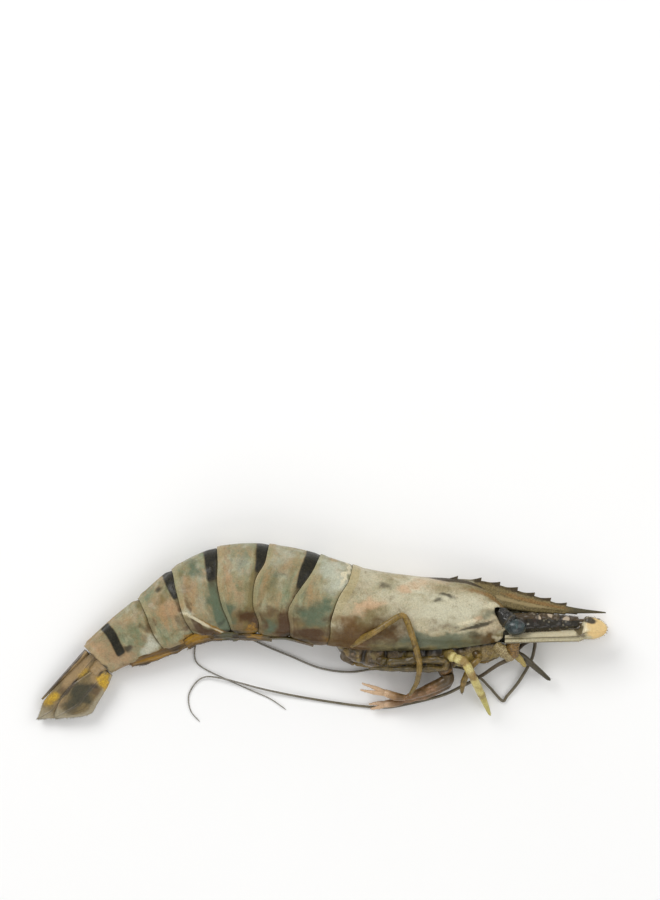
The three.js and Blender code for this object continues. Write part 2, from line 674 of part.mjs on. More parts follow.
// The third pair carries the long claws: an arm, a hand and two slender fingers.
const CLAWS = {
  right: {
    arm: [[43.4, -14.9, 12.2], [43.2, -17.2, 11.6], [36, -20.6, 10], [29.2, -23.2, 8.6]],
    hand: [[29.2, -23.2, 8.6], [25.6, -22.7, 8.4], [22, -21.4, 8]],
    tips: [[14.2, -18.3, 7.2], [13.6, -20.5, 7.2]],
  },
  left: {
    arm: [[43.6, -16, 6], [42.6, -18.6, 5.8], [36, -22, 5], [28.6, -24.4, 4.2]],
    hand: [[28.6, -24.4, 4.2], [25.4, -25, 4], [22, -25.5, 3.6]],
    tips: [[16.6, -25.6, 3], [17.2, -27.2, 3]],
  },
};

const CLAW_RADII = { arm: [2, 2.15, 1.75, 1], hand: [1, 1.35, 1.15], finger: [0.8, 0.75, 0.25] };

function clawLeg(sideName) {
  const { arm, hand, tips } = CLAWS[sideName];
  const [wrist] = vectors(hand.slice(-1));
  const fingers = vectors(tips).map((tip) => {
    const middle = wrist.clone().lerp(tip, 0.5);
    return limb([wrist, middle, tip], CLAW_RADII.finger, { steps: 5, flatness: 0.8 });
  });
  return joined(
    limb(vectors(arm), CLAW_RADII.arm, { steps: 9, sides: 10, tension: 0.3 }),
    limb(vectors(hand), CLAW_RADII.hand, { steps: 6, sides: 10 }),
    ...fingers,
  );
}

// ---- Swimmerets ----

const swimmeretRoot = (index) =>
  segmentStart(index) + SWIMMERET_ROOT * ABDOMEN_BENDS[index].length + SEAM_SLANT / 2;

// A leaf under the belly, folded back against it and reaching to the root of the next.
function swimmeret(index, side) {
  const isLast = index === SWIMMERET_HANG.length - 1;
  const root = swimmeretRoot(index);
  const length = isLast ? LAST_SWIMMERET.length : swimmeretRoot(index + 1) - root - 2 * GAP;
  const clearance = RIM_FLARE + GAP + SWIMMERET.thickness / 2;
  const edgeAt = (t) => {
    const station = root + length * t;
    const groove = isLast ? 0 : BELLY_GROOVE / 2;
    const rise = -readTable(BODY, station, "down") * (1 - groove) - clearance;
    const fullness = lerp(SWIMMERET.neck, 1, Math.sin(Math.PI * Math.min(t * 1.1, 1)));
    const { width: widest } = isLast ? LAST_SWIMMERET : SWIMMERET;
    const room = Math.min(widest, midHeight(station) - SWIMMERET_CLEARANCE);
    const width = room * fullness * roundedOff(t, SWIMMERET.roundFrom);
    const [rootHang, tipHang] = SWIMMERET_HANG[index];
    return {
      left: bodyPlace(station, rise - lerp(rootHang, tipHang, t), side * SWIMMERET.side),
      right: bodyPlace(station, rise, side * (SWIMMERET.side + width)),
      ahead: bodyPlace(station + 0.5, rise, 0).sub(bodyPlace(station, rise, 0)),
    };
  };
  return blade(edgeAt, SWIMMERET.thickness, { steps: 7, sides: 8 });
}

// ---- Tail fan ----

const headed = (heading, fall) =>
  new THREE.Vector3(-Math.cos(radians(heading)), -Math.sin(radians(heading)), -fall);

// A leaf in the plane of the ground, sinking towards its tip. Its outline gives how far its two edges lie to
// the left and the right of the line that runs from its base along its heading.
function fanLeaf({ base, heading, outline, fall, size = 1 }) {
  const start = outline[0].at;
  const end = outline[outline.length - 1].at;
  const way = headed(heading, fall / (end - start));
  const across = headed(heading + 90, 0);
  const [root] = vectors([base]);
  const edgeAt = (t) => {
    const at = lerp(start, end, t);
    const centre = root.clone().addScaledVector(way, at * size);
    return {
      left: centre.clone().addScaledVector(across, readTable(outline, at, "left") * size),
      right: centre.clone().addScaledVector(across, readTable(outline, at, "right") * size),
      ahead: way,
    };
  };
  return blade(edgeAt, FAN_THICKNESS, { steps: 11, sides: 10 });
}

const EXOPOD = { heading: 52, outline: [
  { at: 0, left: -1.8, right: 3.1 },
  { at: 3, left: -3.6, right: 4 },
  { at: 6.5, left: -4.8, right: 4.5 },
  { at: 10.5, left: -6, right: 4.9 },
  { at: 13.7, left: -6, right: 5.3 },
  { at: 15.5, left: -5.9, right: 4.5 },
  { at: 17.5, left: -5.7, right: 2.8 },
  { at: 19.5, left: -5.2, right: 0.7 },
  { at: 21.5, left: -4.6, right: -1.6 },
  { at: 22.6, left: -4.1, right: -2.8 },
  { at: 23, left: -3.7, right: -3.3 },
] };
const ENDOPOD = { heading: 47.3, outline: [
  { at: 0, left: -2.3, right: 2 },
  { at: 5, left: -2.5, right: 3 },
  { at: 10, left: -2.6, right: 3.9 },
  { at: 15, left: -2.65, right: 4.7 },
  { at: 19, left: -2.6, right: 5.2 },
  { at: 21.2, left: -2.3, right: 4.8 },
  { at: 23.5, left: -1.5, right: 2.6 },
  { at: 25.3, left: -0.8, right: 0.9 },
  { at: 26.5, left: -0.4, right: -0.1 },
] };
const FAN = {
  uropod_exopod_right: { ...EXOPOD, base: [-73.4, -14.2, 7.1], fall: 2.2 },
  uropod_endopod_right: { ...ENDOPOD, base: [-78.2, -11.3, 5.7], fall: 2.1 },
  uropod_endopod_left: { ...ENDOPOD, base: [-78.2, -11.3, 3.1], fall: 1.1, size: 0.97 },
  uropod_exopod_left: { ...EXOPOD, base: [-73.4, -14.2, 1.8], fall: 1.1, size: 0.97 },
};

// The telson stands on edge along the upper side of the fan and runs out to a point.
function telson() {
  const { base, heading, length, fall, half, tipHalf, narrowing, thickness } = TELSON;
  const way = headed(heading, fall / length);
  const [root] = vectors([base]);
  const edgeAt = (t) => {
    const centre = root.clone().addScaledVector(way, length * t);
    const reach = new THREE.Vector3(0, 0, lerp(half, tipHalf, t ** narrowing));
    return { left: centre.clone().sub(reach), right: centre.clone().add(reach), ahead: way };
  };
  return blade(edgeAt, thickness, { steps: 8, sides: 8 });
}

// ---- The animal ----

const FINISHES = {
  shell: { color: 0xa29a80, roughness: 0.32 },
  paleShell: { color: 0xc2bba2, roughness: 0.3 },
  tail: { color: 0x6b6350, roughness: 0.4 },
  eye: { color: 0x12100f, roughness: 0.12 },
  antennule: { color: 0x3a3028, roughness: 0.35 },
  scaleBlade: { color: 0xcfc39f, roughness: 0.35 },
  antenna: { color: 0x6c675a, roughness: 0.45 },
  leg: { color: 0x8a7440, roughness: 0.38 },
  yellowLeg: { color: 0xb3a662, roughness: 0.38 },
  claw: { color: 0xb08f6c, roughness: 0.38 },
  underside: { color: 0x5a4a2e, roughness: 0.5 },
  swimmeret: { color: 0x8f6f2c, roughness: 0.42 },
};

const prawn = new THREE.Group();

function add(name, geometry, finish) {
  const material = new THREE.MeshStandardMaterial({ ...FINISHES[finish], metalness: 0 });
  const mesh = new THREE.Mesh(geometry, material);
  mesh.name = name;
  prawn.add(mesh);
}

add("carapace", cutBy(joined(carapaceShell(), rostrum()), orbit(1), orbit(-1)), "paleShell");
add("thorax_underside", sternum(), "underside");
ABDOMEN_BENDS.forEach((_, i) => add(`abdomen_segment_${i + 1}`, tailSegment(i), "shell"));
add("telson", telson(), "tail");
Object.entries(FAN).forEach(([name, sizes]) => add(name, fanLeaf(sizes), "tail"));
Object.entries({ right: 1, left: -1 }).forEach(([sideName, side]) => {
  add(`eye_${sideName}`, eye(side), "eye");
  add(`antennule_${sideName}`, antennule(side), "antennule");
  add(`antennal_scale_${sideName}`, antennalScale(side), "scaleBlade");
  add(`antenna_${sideName}`, antenna(sideName), "antenna");
  add(`leg_3_${sideName}`, clawLeg(sideName), "claw");
  SWIMMERET_HANG.forEach((_, i) => add(`swimmeret_${i + 1}_${sideName}`, swimmeret(i, side), "swimmeret"));
});
Object.entries(LEGS).forEach(([name, sizes]) =>
  add(name, leg(sizes), name.startsWith("leg_2") ? "yellowLeg" : "leg"),
);
add("leg_5_right", drapedLeg(), "leg");

// The animal is drawn round a point near its waist, and stands with its middle over the origin.
prawn.position.set(-FOOTPRINT_MIDDLE.x, -FOOTPRINT_MIDDLE.y, 0);

export default prawn;
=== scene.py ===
import math

import bpy
import numpy as np
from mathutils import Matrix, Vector


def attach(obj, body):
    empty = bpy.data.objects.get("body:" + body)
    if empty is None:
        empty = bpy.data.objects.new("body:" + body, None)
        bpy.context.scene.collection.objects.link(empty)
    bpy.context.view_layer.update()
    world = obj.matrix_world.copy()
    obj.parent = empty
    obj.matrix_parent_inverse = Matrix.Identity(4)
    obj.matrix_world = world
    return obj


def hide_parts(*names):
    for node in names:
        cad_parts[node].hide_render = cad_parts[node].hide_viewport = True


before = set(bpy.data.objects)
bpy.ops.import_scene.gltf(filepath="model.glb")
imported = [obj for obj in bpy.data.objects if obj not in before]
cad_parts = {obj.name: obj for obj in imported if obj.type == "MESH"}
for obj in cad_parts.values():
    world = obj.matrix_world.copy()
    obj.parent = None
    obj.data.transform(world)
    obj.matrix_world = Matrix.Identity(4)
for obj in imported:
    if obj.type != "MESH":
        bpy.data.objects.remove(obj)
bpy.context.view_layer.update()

# A raw tiger prawn lying on its left side. Everything is drawn in millimetres: +x to the head, +y to the
# back, +z up through the right flank. A place on the body is a station along the bent axis (0 at the
# carapace's rear edge, tailwards positive), a rise towards the back and a distance to the side. A turn is
# the angle round the body, from 0 at the back to pi at the belly, the same on both flanks.

millimetre = 0.001
fullTurn = 2 * math.pi
lowest = 0.02  # height of a thin edge or hair that lies on the ground


# A smooth curve through the given points, held level past its ends.
def smoothRead(xs, ys, at):
    xs, ys = np.asarray(xs, float), np.asarray(ys, float)
    slope = np.empty_like(ys)
    slope[1:-1] = (ys[2:] - ys[:-2]) / (xs[2:] - xs[:-2])
    slope[0] = (ys[1] - ys[0]) / (xs[1] - xs[0])
    slope[-1] = (ys[-1] - ys[-2]) / (xs[-1] - xs[-2])
    at = np.clip(at, xs[0], xs[-1])
    i = np.clip(np.searchsorted(xs, at, side="right") - 1, 0, len(xs) - 2)
    span = xs[i + 1] - xs[i]
    t = (at - xs[i]) / span
    held = (1 + 2 * t) * (1 - t) ** 2 * ys[i] + t * t * (3 - 2 * t) * ys[i + 1]
    return held + span * (t * (1 - t) ** 2 * slope[i] - t * t * (1 - t) * slope[i + 1])


def smoothStep(value, low, high):
    t = np.clip((value - low) / (high - low), 0, 1)
    return t * t * (3 - 2 * t)


def bump(value, middle, width):
    return np.exp(-((value - middle) / width) ** 2)


def signedPower(value, power):
    return np.sign(value) * np.abs(value) ** power


def unit(vectors):
    return vectors / np.maximum(np.linalg.norm(vectors, axis=-1, keepdims=True), 1e-9)


# Slow even waviness from a few sines, the same on each run.
def waviness(points, size, seed=0, sines=6):
    dice = np.random.default_rng(seed)
    total = np.zeros(points.shape[:-1])
    for _ in range(sines):
        way = unit(dice.normal(size=3))
        total += np.sin(points @ way * fullTurn / (size * dice.uniform(0.7, 1.5)) + dice.uniform(0, fullTurn))
    return total / sines


# Waviness summed from rows of height, size and seed
def lumpy(points, rows):
    return sum(height * waviness(points, size, seed) for height, size, seed in rows)


axis = {
    "origin": (8.17, 8.48),
    "stations": [-54, -16, 0, 15.3, 31.1, 43.9, 55.5, 67.7, 90.1],
    "headings": [-3, -7, -15, -14, -5, 13, 25, 32, 38],  # degrees
}
body = {
    "stations": [-54, -50, -42, -30, -16, 0, 15.3, 31.1, 43.9, 55.5, 67.7, 79, 90.1],
    "up": [7, 11.6, 14.2, 14.65, 14.8, 14.8, 15.6, 15.6, 14.7, 12.3, 9.3, 8, 6.6],
    "down": [5.2, 6.4, 8.5, 10.7, 12.9, 15.2, 15.6, 16.3, 15.2, 12.4, 11.4, 9.4, 7],
    "half": [4.7, 6.6, 8.4, 9.8, 10.5, 10.8, 10.8, 10.6, 9.9, 8.8, 7.4, 6.1, 4.7],
    "restFlat": 0.25,
    "headLift": 0.025,
    "backRoundness": (0.9, 0.875),
    "bellyRoundness": (0.78, 0.815),
    "bellyGroove": (0.16, 0.36),  # depth as a share, width in radians
    "seamSlant": 2.5,
    "seamSlantPower": 1.5,
    "tailEndSlant": 1.9,
}
seams = [0, 15.3, 31.1, 43.9, 55.5, 67.7, 90.1]

fineStations = np.arange(-110, 120, 0.05)
fineHeadings = np.radians(np.interp(fineStations, axis["stations"], axis["headings"]))


def runningSum(values):
    steps = (values[1:] + values[:-1]) / 2 * np.diff(fineStations)
    total = np.concatenate([[0], np.cumsum(steps)])
    return total - np.interp(0, fineStations, total)


fineX = axis["origin"][0] - runningSum(np.cos(fineHeadings))
fineY = axis["origin"][1] - runningSum(np.sin(fineHeadings))


def bodySize(station, key):
    return smoothRead(body["stations"], body[key], station)


def midHeight(station):
    rear = bodySize(np.maximum(station, 0), "half") - body["restFlat"]
    return rear + body["headLift"] * np.minimum(station, 0)


# Where a place on the body lies in the world
def place(station, rise, side):
    station, rise, side = np.broadcast_arrays(*[np.asarray(v, float) for v in (station, rise, side)])
    x, y, heading = [np.interp(station, fineStations, line) for line in (fineX, fineY, fineHeadings)]
    height = np.maximum(midHeight(station) + side, 0)
    return np.stack([x - rise * np.sin(heading), y + rise * np.cos(heading), height], -1)


# Rise and side of the body's skin at each angle round it
def skin(station, angle, grow=0.0):
    onBack = np.cos(angle) >= 0
    depth, width = body["bellyGroove"]
    groove = depth * bump(angle, math.pi, width)
    up = bodySize(station, "up") + grow
    down = (bodySize(station, "down") + grow) * (1 - groove)
    half = bodySize(station, "half") + grow
    riseWay = np.where(onBack, body["backRoundness"][0], body["bellyRoundness"][0])
    sideWay = np.where(onBack, body["backRoundness"][1], body["bellyRoundness"][1])
    rise = np.where(onBack, up, down) * signedPower(np.cos(angle), riseWay)
    return rise, half * signedPower(np.sin(angle), sideWay)


# Seams slant: they lie further back at the belly, and the last one further back at the back.
def seamShift(angle):
    return body["seamSlant"] * ((1 - np.cos(angle)) / 2) ** body["seamSlantPower"]


def tailEndShift(angle):
    return body["tailEndSlant"] * (1 + np.cos(angle)) / 2


def roundAngles(count):
    return np.arange(count) / count * fullTurn


# Angle from the back, the same on both flanks
def fromBack(angle):
    return np.minimum(angle, fullTurn - angle)


# A patch is points, faces and named values at its points. A tube closes on a pole at each end.
def tube(rings, startPole=None, endPole=None, **values):
    rows, around = rings.shape[:2]
    startPole = rings[0].mean(0) if startPole is None else startPole
    endPole = rings[-1].mean(0) if endPole is None else endPole
    points = np.vstack([rings.reshape(-1, 3), startPole, endPole])
    i, j = np.meshgrid(np.arange(rows - 1), np.arange(around), indexing="ij")
    nextJ = (j + 1) % around
    quads = np.stack([i * around + j, i * around + nextJ, (i + 1) * around + nextJ, (i + 1) * around + j], -1)
    quads = quads.reshape(-1, 4)
    k = np.arange(around)
    after = (k + 1) % around
    last = (rows - 1) * around
    startFan = np.stack([np.full(around, rows * around), after, k], -1)
    endFan = np.stack([np.full(around, rows * around + 1), last + k, last + after], -1)
    fans = np.vstack([startFan, endFan])
    corners = np.vstack([quads[:, :3], quads[:, [0, 2, 3]], fans])
    a, b, c = points[corners[:, 0]], points[corners[:, 1]], points[corners[:, 2]]
    if np.einsum("ij,ij->i", a, np.cross(b, c)).sum() < 0:
        quads, fans = quads[:, ::-1], fans[:, ::-1]
    named = {}
    for name, value in values.items():
        value = np.broadcast_to(value, (rows, around))
        named[name] = np.concatenate([value.ravel(), [value[0].mean(), value[-1].mean()]])
    return {"points": points, "quads": quads, "fans": fans, "values": named}


# Many thin tapering hairs with a slight bend. Roots and ways are rows of points, lengths are millimetres.
def hairs(roots, ways, lengths, thickness=0.05, seed=1, **values):
    dice = np.random.default_rng(seed)
    count, perHair = len(roots), 10
    ways = unit(ways + dice.normal(scale=0.10, size=ways.shape))
    side = unit(np.cross(ways, [0.31, 0.22, 0.92]))
    over = np.cross(side, ways)
    lengths = np.asarray(lengths) * dice.uniform(0.7, 1.1, count)
    droop = [0, 0, -0.15]
    bend = dice.normal(scale=0.12, size=(count, 3)) + droop
    turn = roundAngles(3)
    around = side[:, None] * np.cos(turn)[:, None] + over[:, None] * np.sin(turn)[:, None]
    levels = []
    for share, width in ((0, 1), (0.5, 0.8), (0.85, 0.5)):
        centre = roots + (ways * share + bend * share ** 2) * lengths[:, None]
        levels.append(centre[:, None] + around * thickness * width)
    tip = roots + (ways + bend) * lengths[:, None]
    points = np.concatenate([*levels, tip[:, None]], 1)
    points[..., 2] = np.maximum(points[..., 2], lowest)
    start = np.arange(count)[:, None] * perHair
    quads, fans = [], []
    for level in (0, 3):
        for j in range(3):
            quads.append(start + [level + j, level + (j + 1) % 3, level + 3 + (j + 1) % 3, level + 3 + j])
    for j in range(3):
        fans.append(start + [6 + j, 6 + (j + 1) % 3, perHair - 1])
    fans.append(start + [2, 1, 0])
    named = {name: np.full(count * perHair, float(value)) for name, value in values.items()}
    return {"points": points.reshape(-1, 3), "quads": np.vstack(quads), "fans": np.vstack(fans),
            "values": named}


# Joins patches into one piece that rides on the body and stands for the given solids.
def makePiece(name, patches, material, nodes):
    names = sorted({key for patch in patches for key in patch["values"]})
    corners, sizes, points, base = [], [], [], 0
    for patch in patches:
        for faces in (patch["quads"], patch["fans"]):
            corners.append((faces + base).ravel())
            sizes.append(np.full(len(faces), faces.shape[1]))
        points.append(patch["points"])
        base += len(patch["points"])
    points, corners, sizes = np.vstack(points), np.concatenate(corners), np.concatenate(sizes)
    mesh = bpy.data.meshes.new(name)
    mesh.vertices.add(len(points))
    mesh.vertices.foreach_set("co", (points * millimetre).astype(np.float32).ravel())
    mesh.loops.add(len(corners))
    mesh.loops.foreach_set("vertex_index", corners.astype(np.int32))
    mesh.polygons.add(len(sizes))
    mesh.polygons.foreach_set("loop_start", (np.cumsum(sizes) - sizes).astype(np.int32))
    mesh.polygons.foreach_set("use_smooth", np.ones(len(sizes), bool))
    mesh.update(calc_edges=True)
    mesh.validate()
    for key in names:
        value = [patch["values"].get(key, np.zeros(len(patch["points"]))) for patch in patches]
        mesh.attributes.new(key, "FLOAT", "POINT").data.foreach_set(
            "value", np.concatenate(value).astype(np.float32))
    piece = bpy.data.objects.new(name, mesh)
    bpy.context.scene.collection.objects.link(piece)
    mesh.materials.append(material)
    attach(piece, "root")
    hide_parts(*nodes)


# How strongly each tone lies at each point, from patches (x, y, length, width, turn in degrees, strength).
# The points are first shifted about a little, so that no patch keeps an even outline.
def toneValues(points, table, wander=1.0):
    found = {}
    shiftX = lumpy(points, [(2.6, 9, 3), (1.6, 3.4, 4), (0.7, 1.5, 7)])
    shiftY = lumpy(points, [(2.6, 9, 5), (1.6, 3.4, 6), (0.7, 1.5, 8)])
    for tone, rows in table.items():
        value = np.zeros(points.shape[:-1])
        for x, y, length, width, turn, strength in rows:
            way = math.radians(turn)
            astray = wander * min(1, width / 2.4)
            dx, dy = points[..., 0] + shiftX * astray - x, points[..., 1] + shiftY * astray - y
            along = (dx * math.cos(way) + dy * math.sin(way)) / length
            across = (dy * math.cos(way) - dx * math.sin(way)) / width
            value = np.maximum(value, strength * smoothStep(np.hypot(along, across), 1.6, 0.2))
        found[tone] = value
    return found


# A tone of 0 to 255 as the linear colour that the nodes use
def linear(red, green, blue):
    parts = [value / 255 for value in (red, green, blue)]
    return tuple(p / 12.92 if p <= 0.04045 else ((p + 0.055) / 1.055) ** 2.4 for p in parts) + (1.0,)


# A finish is a mottled ground, fine speckles, layers painted where the mesh's named values say, and gloss.
class Finish:
    def __init__(self, name):
        self.material = bpy.data.materials.new(name)
        self.material.use_nodes = True
        self.tree = self.material.node_tree
        self.tree.nodes.clear()
        self.where = self.tree.nodes.new("ShaderNodeTexCoord").outputs["Object"]

    def add(self, kind, inputs, **settings):
        made = self.tree.nodes.new(kind)
        for key, value in settings.items():
            setattr(made, key, value)
        for key, value in inputs.items():
            if isinstance(value, bpy.types.NodeSocket):
                self.tree.links.new(value, made.inputs[key])
            else:
                made.inputs[key].default_value = value
        return made

    # With flow, the noise is drawn out along the body and round it by these two amounts.
    def noise(self, size, detail=4, roughness=0.55, warp=0.0, flow=None):
        where = self.where
        if flow:
            parts = [self.maths("MULTIPLY", self.value(name), millimetre / amount)
                     for name, amount in zip(("flowAlong", "flowRound"), flow)]
            where = self.add("ShaderNodeCombineXYZ", {0: parts[0], 1: parts[1]}).outputs[0]
        inputs = {"Vector": where, "Scale": 1 / (size * millimetre), "Detail": detail,
                  "Roughness": roughness, "Distortion": warp}
        return self.add("ShaderNodeTexNoise", inputs).outputs["Fac"]

    def cells(self, size):
        inputs = {"Vector": self.where, "Scale": 1 / (size * millimetre)}
        return self.add("ShaderNodeTexVoronoi", inputs).outputs["Distance"]

    def value(self, name):
        return self.add("ShaderNodeAttribute", {}, attribute_name=name).outputs["Fac"]

    def maths(self, operation, a, b=0.0, c=0.0):
        return self.add("ShaderNodeMath", {0: a, 1: b, 2: c}, operation=operation).outputs[0]

    def span(self, value, low, high, start=0.0, end=1.0):
        inputs = {"Value": value, "From Min": low, "From Max": high, "To Min": start, "To Max": end}
        return self.add("ShaderNodeMapRange", inputs, interpolation_type="SMOOTHSTEP").outputs[0]

    def mix(self, below, above, share):
        return self.add("ShaderNodeMix", {0: share, 6: below, 7: above}, data_type="RGBA").outputs[2]

    def surface(self, inputs):
        shader = self.add("ShaderNodeBsdfPrincipled", inputs)
        ending = self.tree.nodes.new("ShaderNodeOutputMaterial")
        self.tree.links.new(shader.outputs[0], ending.inputs["Surface"])
        return self.material


# A layer shows where its named value, roughened by a ragged noise, goes from low to high.
def layer(value, tone, amount=1.0, low=0.15, high=0.7, ragged=0.5, second=None):
    return value, tone, amount, low, high, ragged, second


# A cloud is a noise of the given size, in millimetres, that shows from low to high.
def cloud(size, tone, amount, low, high, flow=None):
    return size, tone, amount, low, high, flow


# What every finish shares. A span says where a noise starts to show and where it shows in full.
common = {
    "groundSpan": (0.34, 0.66), "thirdSize": 0.37, "thirdSpan": (0.5, 0.78), "thirdAmount": 0.75,
    "secondSpan": (0.38, 0.62), "ringSpan": (0.2, 1.0), "grainSpan": (0.3, 0.75),
    "dotSpan": (0.34, 0.16), "dotFieldSize": 6, "dotFieldSpan": (0.35, 0.65), "fewestDots": 0.25,
    "waveSize": 2.4, "bump": 0.8, "glossSize": 1.3, "glossSpan": (0.3, 0.7), "coatRoughness": 0.14,
    "glass": 1.5, "fleshReach": (1.0, 0.8, 0.55), "fleshDepth": 0.0015,
}


def makeFinish(name, look):
    make = Finish(name)
    first, second, third = [linear(*tone) for tone in look["ground"]]
    broad = make.noise(look["mottle"], 5, 0.6, 0.3)
    fine = make.noise(look.get("grain", 0.55), 4, 0.7)
    ragged = make.noise(look.get("ragged", 1.8), 5, 0.6, 0.3)
    colour = make.mix(first, second, make.span(broad, *common["groundSpan"]))
    patchy = make.noise(look["mottle"] * common["thirdSize"], 5, 0.65)
    colour = make.mix(colour, third, make.span(patchy, *common["thirdSpan"], 0, common["thirdAmount"]))
    for size, tone, amount, low, high, flow in look.get("clouds", []):
        lines = make.noise(size, 5, 0.62, 0.5, flow)
        colour = make.mix(colour, linear(*tone), make.span(lines, low, high, 0, amount))
    for value, tone, amount, low, high, rough, other in look["layers"]:
        broken = make.maths("MULTIPLY_ADD", ragged, rough, make.value(value))
        share = make.span(broken, low + rough / 2, high + rough / 2, 0, amount)
        tone = linear(*tone)
        if other:
            tone = make.mix(tone, linear(*other), make.span(fine, *common["secondSpan"]))
        colour = make.mix(colour, tone, share)
    rings = look.get("rings")
    if rings:
        turns = make.maths("MULTIPLY", make.value("run"), fullTurn / rings["every"])
        waves = make.maths("SINE", make.maths("MULTIPLY_ADD", ragged, rings["wobble"], turns))
        share = make.span(waves, *common["ringSpan"], 0, rings["amount"])
        colour = make.mix(colour, linear(*rings["tone"]), share)
    speckle = look.get("speckle")
    if speckle:
        dots = make.cells(speckle["every"])
        field = make.noise(speckle["every"] * common["dotFieldSize"], 3)
        field = make.span(field, *common["dotFieldSpan"], common["fewestDots"], 1)
        share = make.maths("MULTIPLY", make.span(dots, *common["dotSpan"]), field)
        share = make.maths("MULTIPLY", share, speckle["amount"])
        colour = make.mix(colour, linear(*speckle["tone"]), share)
    grain = make.span(fine, *common["grainSpan"], 0, look["grainAmount"])
    colour = make.mix(colour, linear(*look["grainTone"]), grain)
    height = make.maths("MULTIPLY", make.noise(common["waveSize"], 4, 0.5), look.get("wave", 0.16))
    height = make.maths("MULTIPLY_ADD", fine, look.get("grit", 0.035), height)
    pits = make.cells(look.get("pitEvery", 0.45))
    height = make.maths("MULTIPLY_ADD", pits, look.get("pit", 0.03), height)
    if rings:
        height = make.maths("MULTIPLY_ADD", waves, rings["height"], height)
    bumps = {"Height": height, "Distance": millimetre, "Strength": common["bump"]}
    normal = make.add("ShaderNodeBump", bumps).outputs[0]
    smooth, dull = look["gloss"]
    roughness = make.span(make.noise(common["glossSize"], 4, 0.6), *common["glossSpan"], smooth, dull)
    return make.surface({
        "Base Color": colour, "Roughness": roughness, "Normal": normal,
        "Coat Weight": look["coat"], "Coat Roughness": common["coatRoughness"], "IOR": common["glass"],
        "Specular IOR Level": look.get("specular", 0.45),
        "Subsurface Weight": look.get("flesh", 0.0), "Subsurface Radius": common["fleshReach"],
        "Subsurface Scale": common["fleshDepth"],
    })


tones = {
    "pale": (208, 211, 193), "rose": (186, 146, 110), "olive": (108, 93, 40), "teal": (78, 100, 80),
    "brown": (66, 34, 0), "gold": (158, 116, 26), "cream": (226, 216, 184), "dark": (32, 30, 22),
    "brownEdge": (74, 60, 36),
}

shellLook = {
    "ground": ((150, 142, 106), (166, 156, 122), (128, 124, 92)), "mottle": 6.5, "grain": 0.5,
    "grainTone": (82, 74, 48), "grainAmount": 0.32, "gloss": (0.28, 0.48), "coat": 0.09, "flesh": 0.12,
    "specular": 0.23, "ragged": 3.2,
    "speckle": {"every": 0.9, "tone": (84, 76, 50), "amount": 0.28},
    "clouds": [
        cloud(8, (104, 126, 98), 0.8, 0.38, 0.68, flow=(1, 1.7)),
        cloud(5, (180, 142, 98), 0.75, 0.42, 0.7, flow=(1, 2.4)),
        cloud(3.1, (190, 188, 156), 0.6, 0.48, 0.76, flow=(1, 2.2)),
        cloud(1.7, (104, 90, 52), 0.55, 0.5, 0.76, flow=(1, 2)),
        cloud(0.9, (120, 142, 118), 0.35, 0.5, 0.68),
        cloud(1.1, (184, 150, 112), 0.3, 0.52, 0.7),
    ],
    "layers": [
        layer("belly", (150, 130, 92), 0.7),
        layer("lowEdge", (104, 80, 36), 0.75, low=0.0, high=1.0, ragged=1.0),
        # Pale patches: partly the shell's own pale colour, partly painted highlights
        layer("pale", tones["pale"], 0.7, low=0.0, high=1.0, ragged=0.9),
        layer("rose", tones["rose"], 0.65, low=0.0, high=1.0, ragged=0.9),
        layer("olive", tones["olive"], 0.7, low=0.0, high=1.0, ragged=0.9),
        layer("teal", tones["teal"], 0.85, low=0.0, high=0.95, ragged=1.0),
        layer("brown", tones["brown"], 0.92, low=0.0, high=0.9, ragged=1.0),
        layer("gold", tones["gold"], 0.85, ragged=0.9, second=(120, 84, 26)),
        # Pale rear rim: partly the rim's own colour, partly a painted highlight on the rounded rim
        layer("rim", (182, 170, 128), 0.3),
        layer("cream", tones["cream"], 0.8),
        layer("band", tones["brownEdge"], 0.8, low=0.02, high=0.45),
        layer("band", (9, 11, 10), 0.98, low=0.22, second=(17, 20, 14)),
        # Painted shadow: a thin dark line just behind the rim of the segment ahead, and under this one's
        # turned-in rim
        layer("seam", (78, 70, 44), 0.7, low=0.2, high=0.9),
        layer("dark", tones["dark"], 0.85, low=0.05, high=0.8, ragged=0.7),
        # Painted shade on parts that lie under the segment ahead
        layer("inside", (48, 40, 28), 1.0),
    ],
}

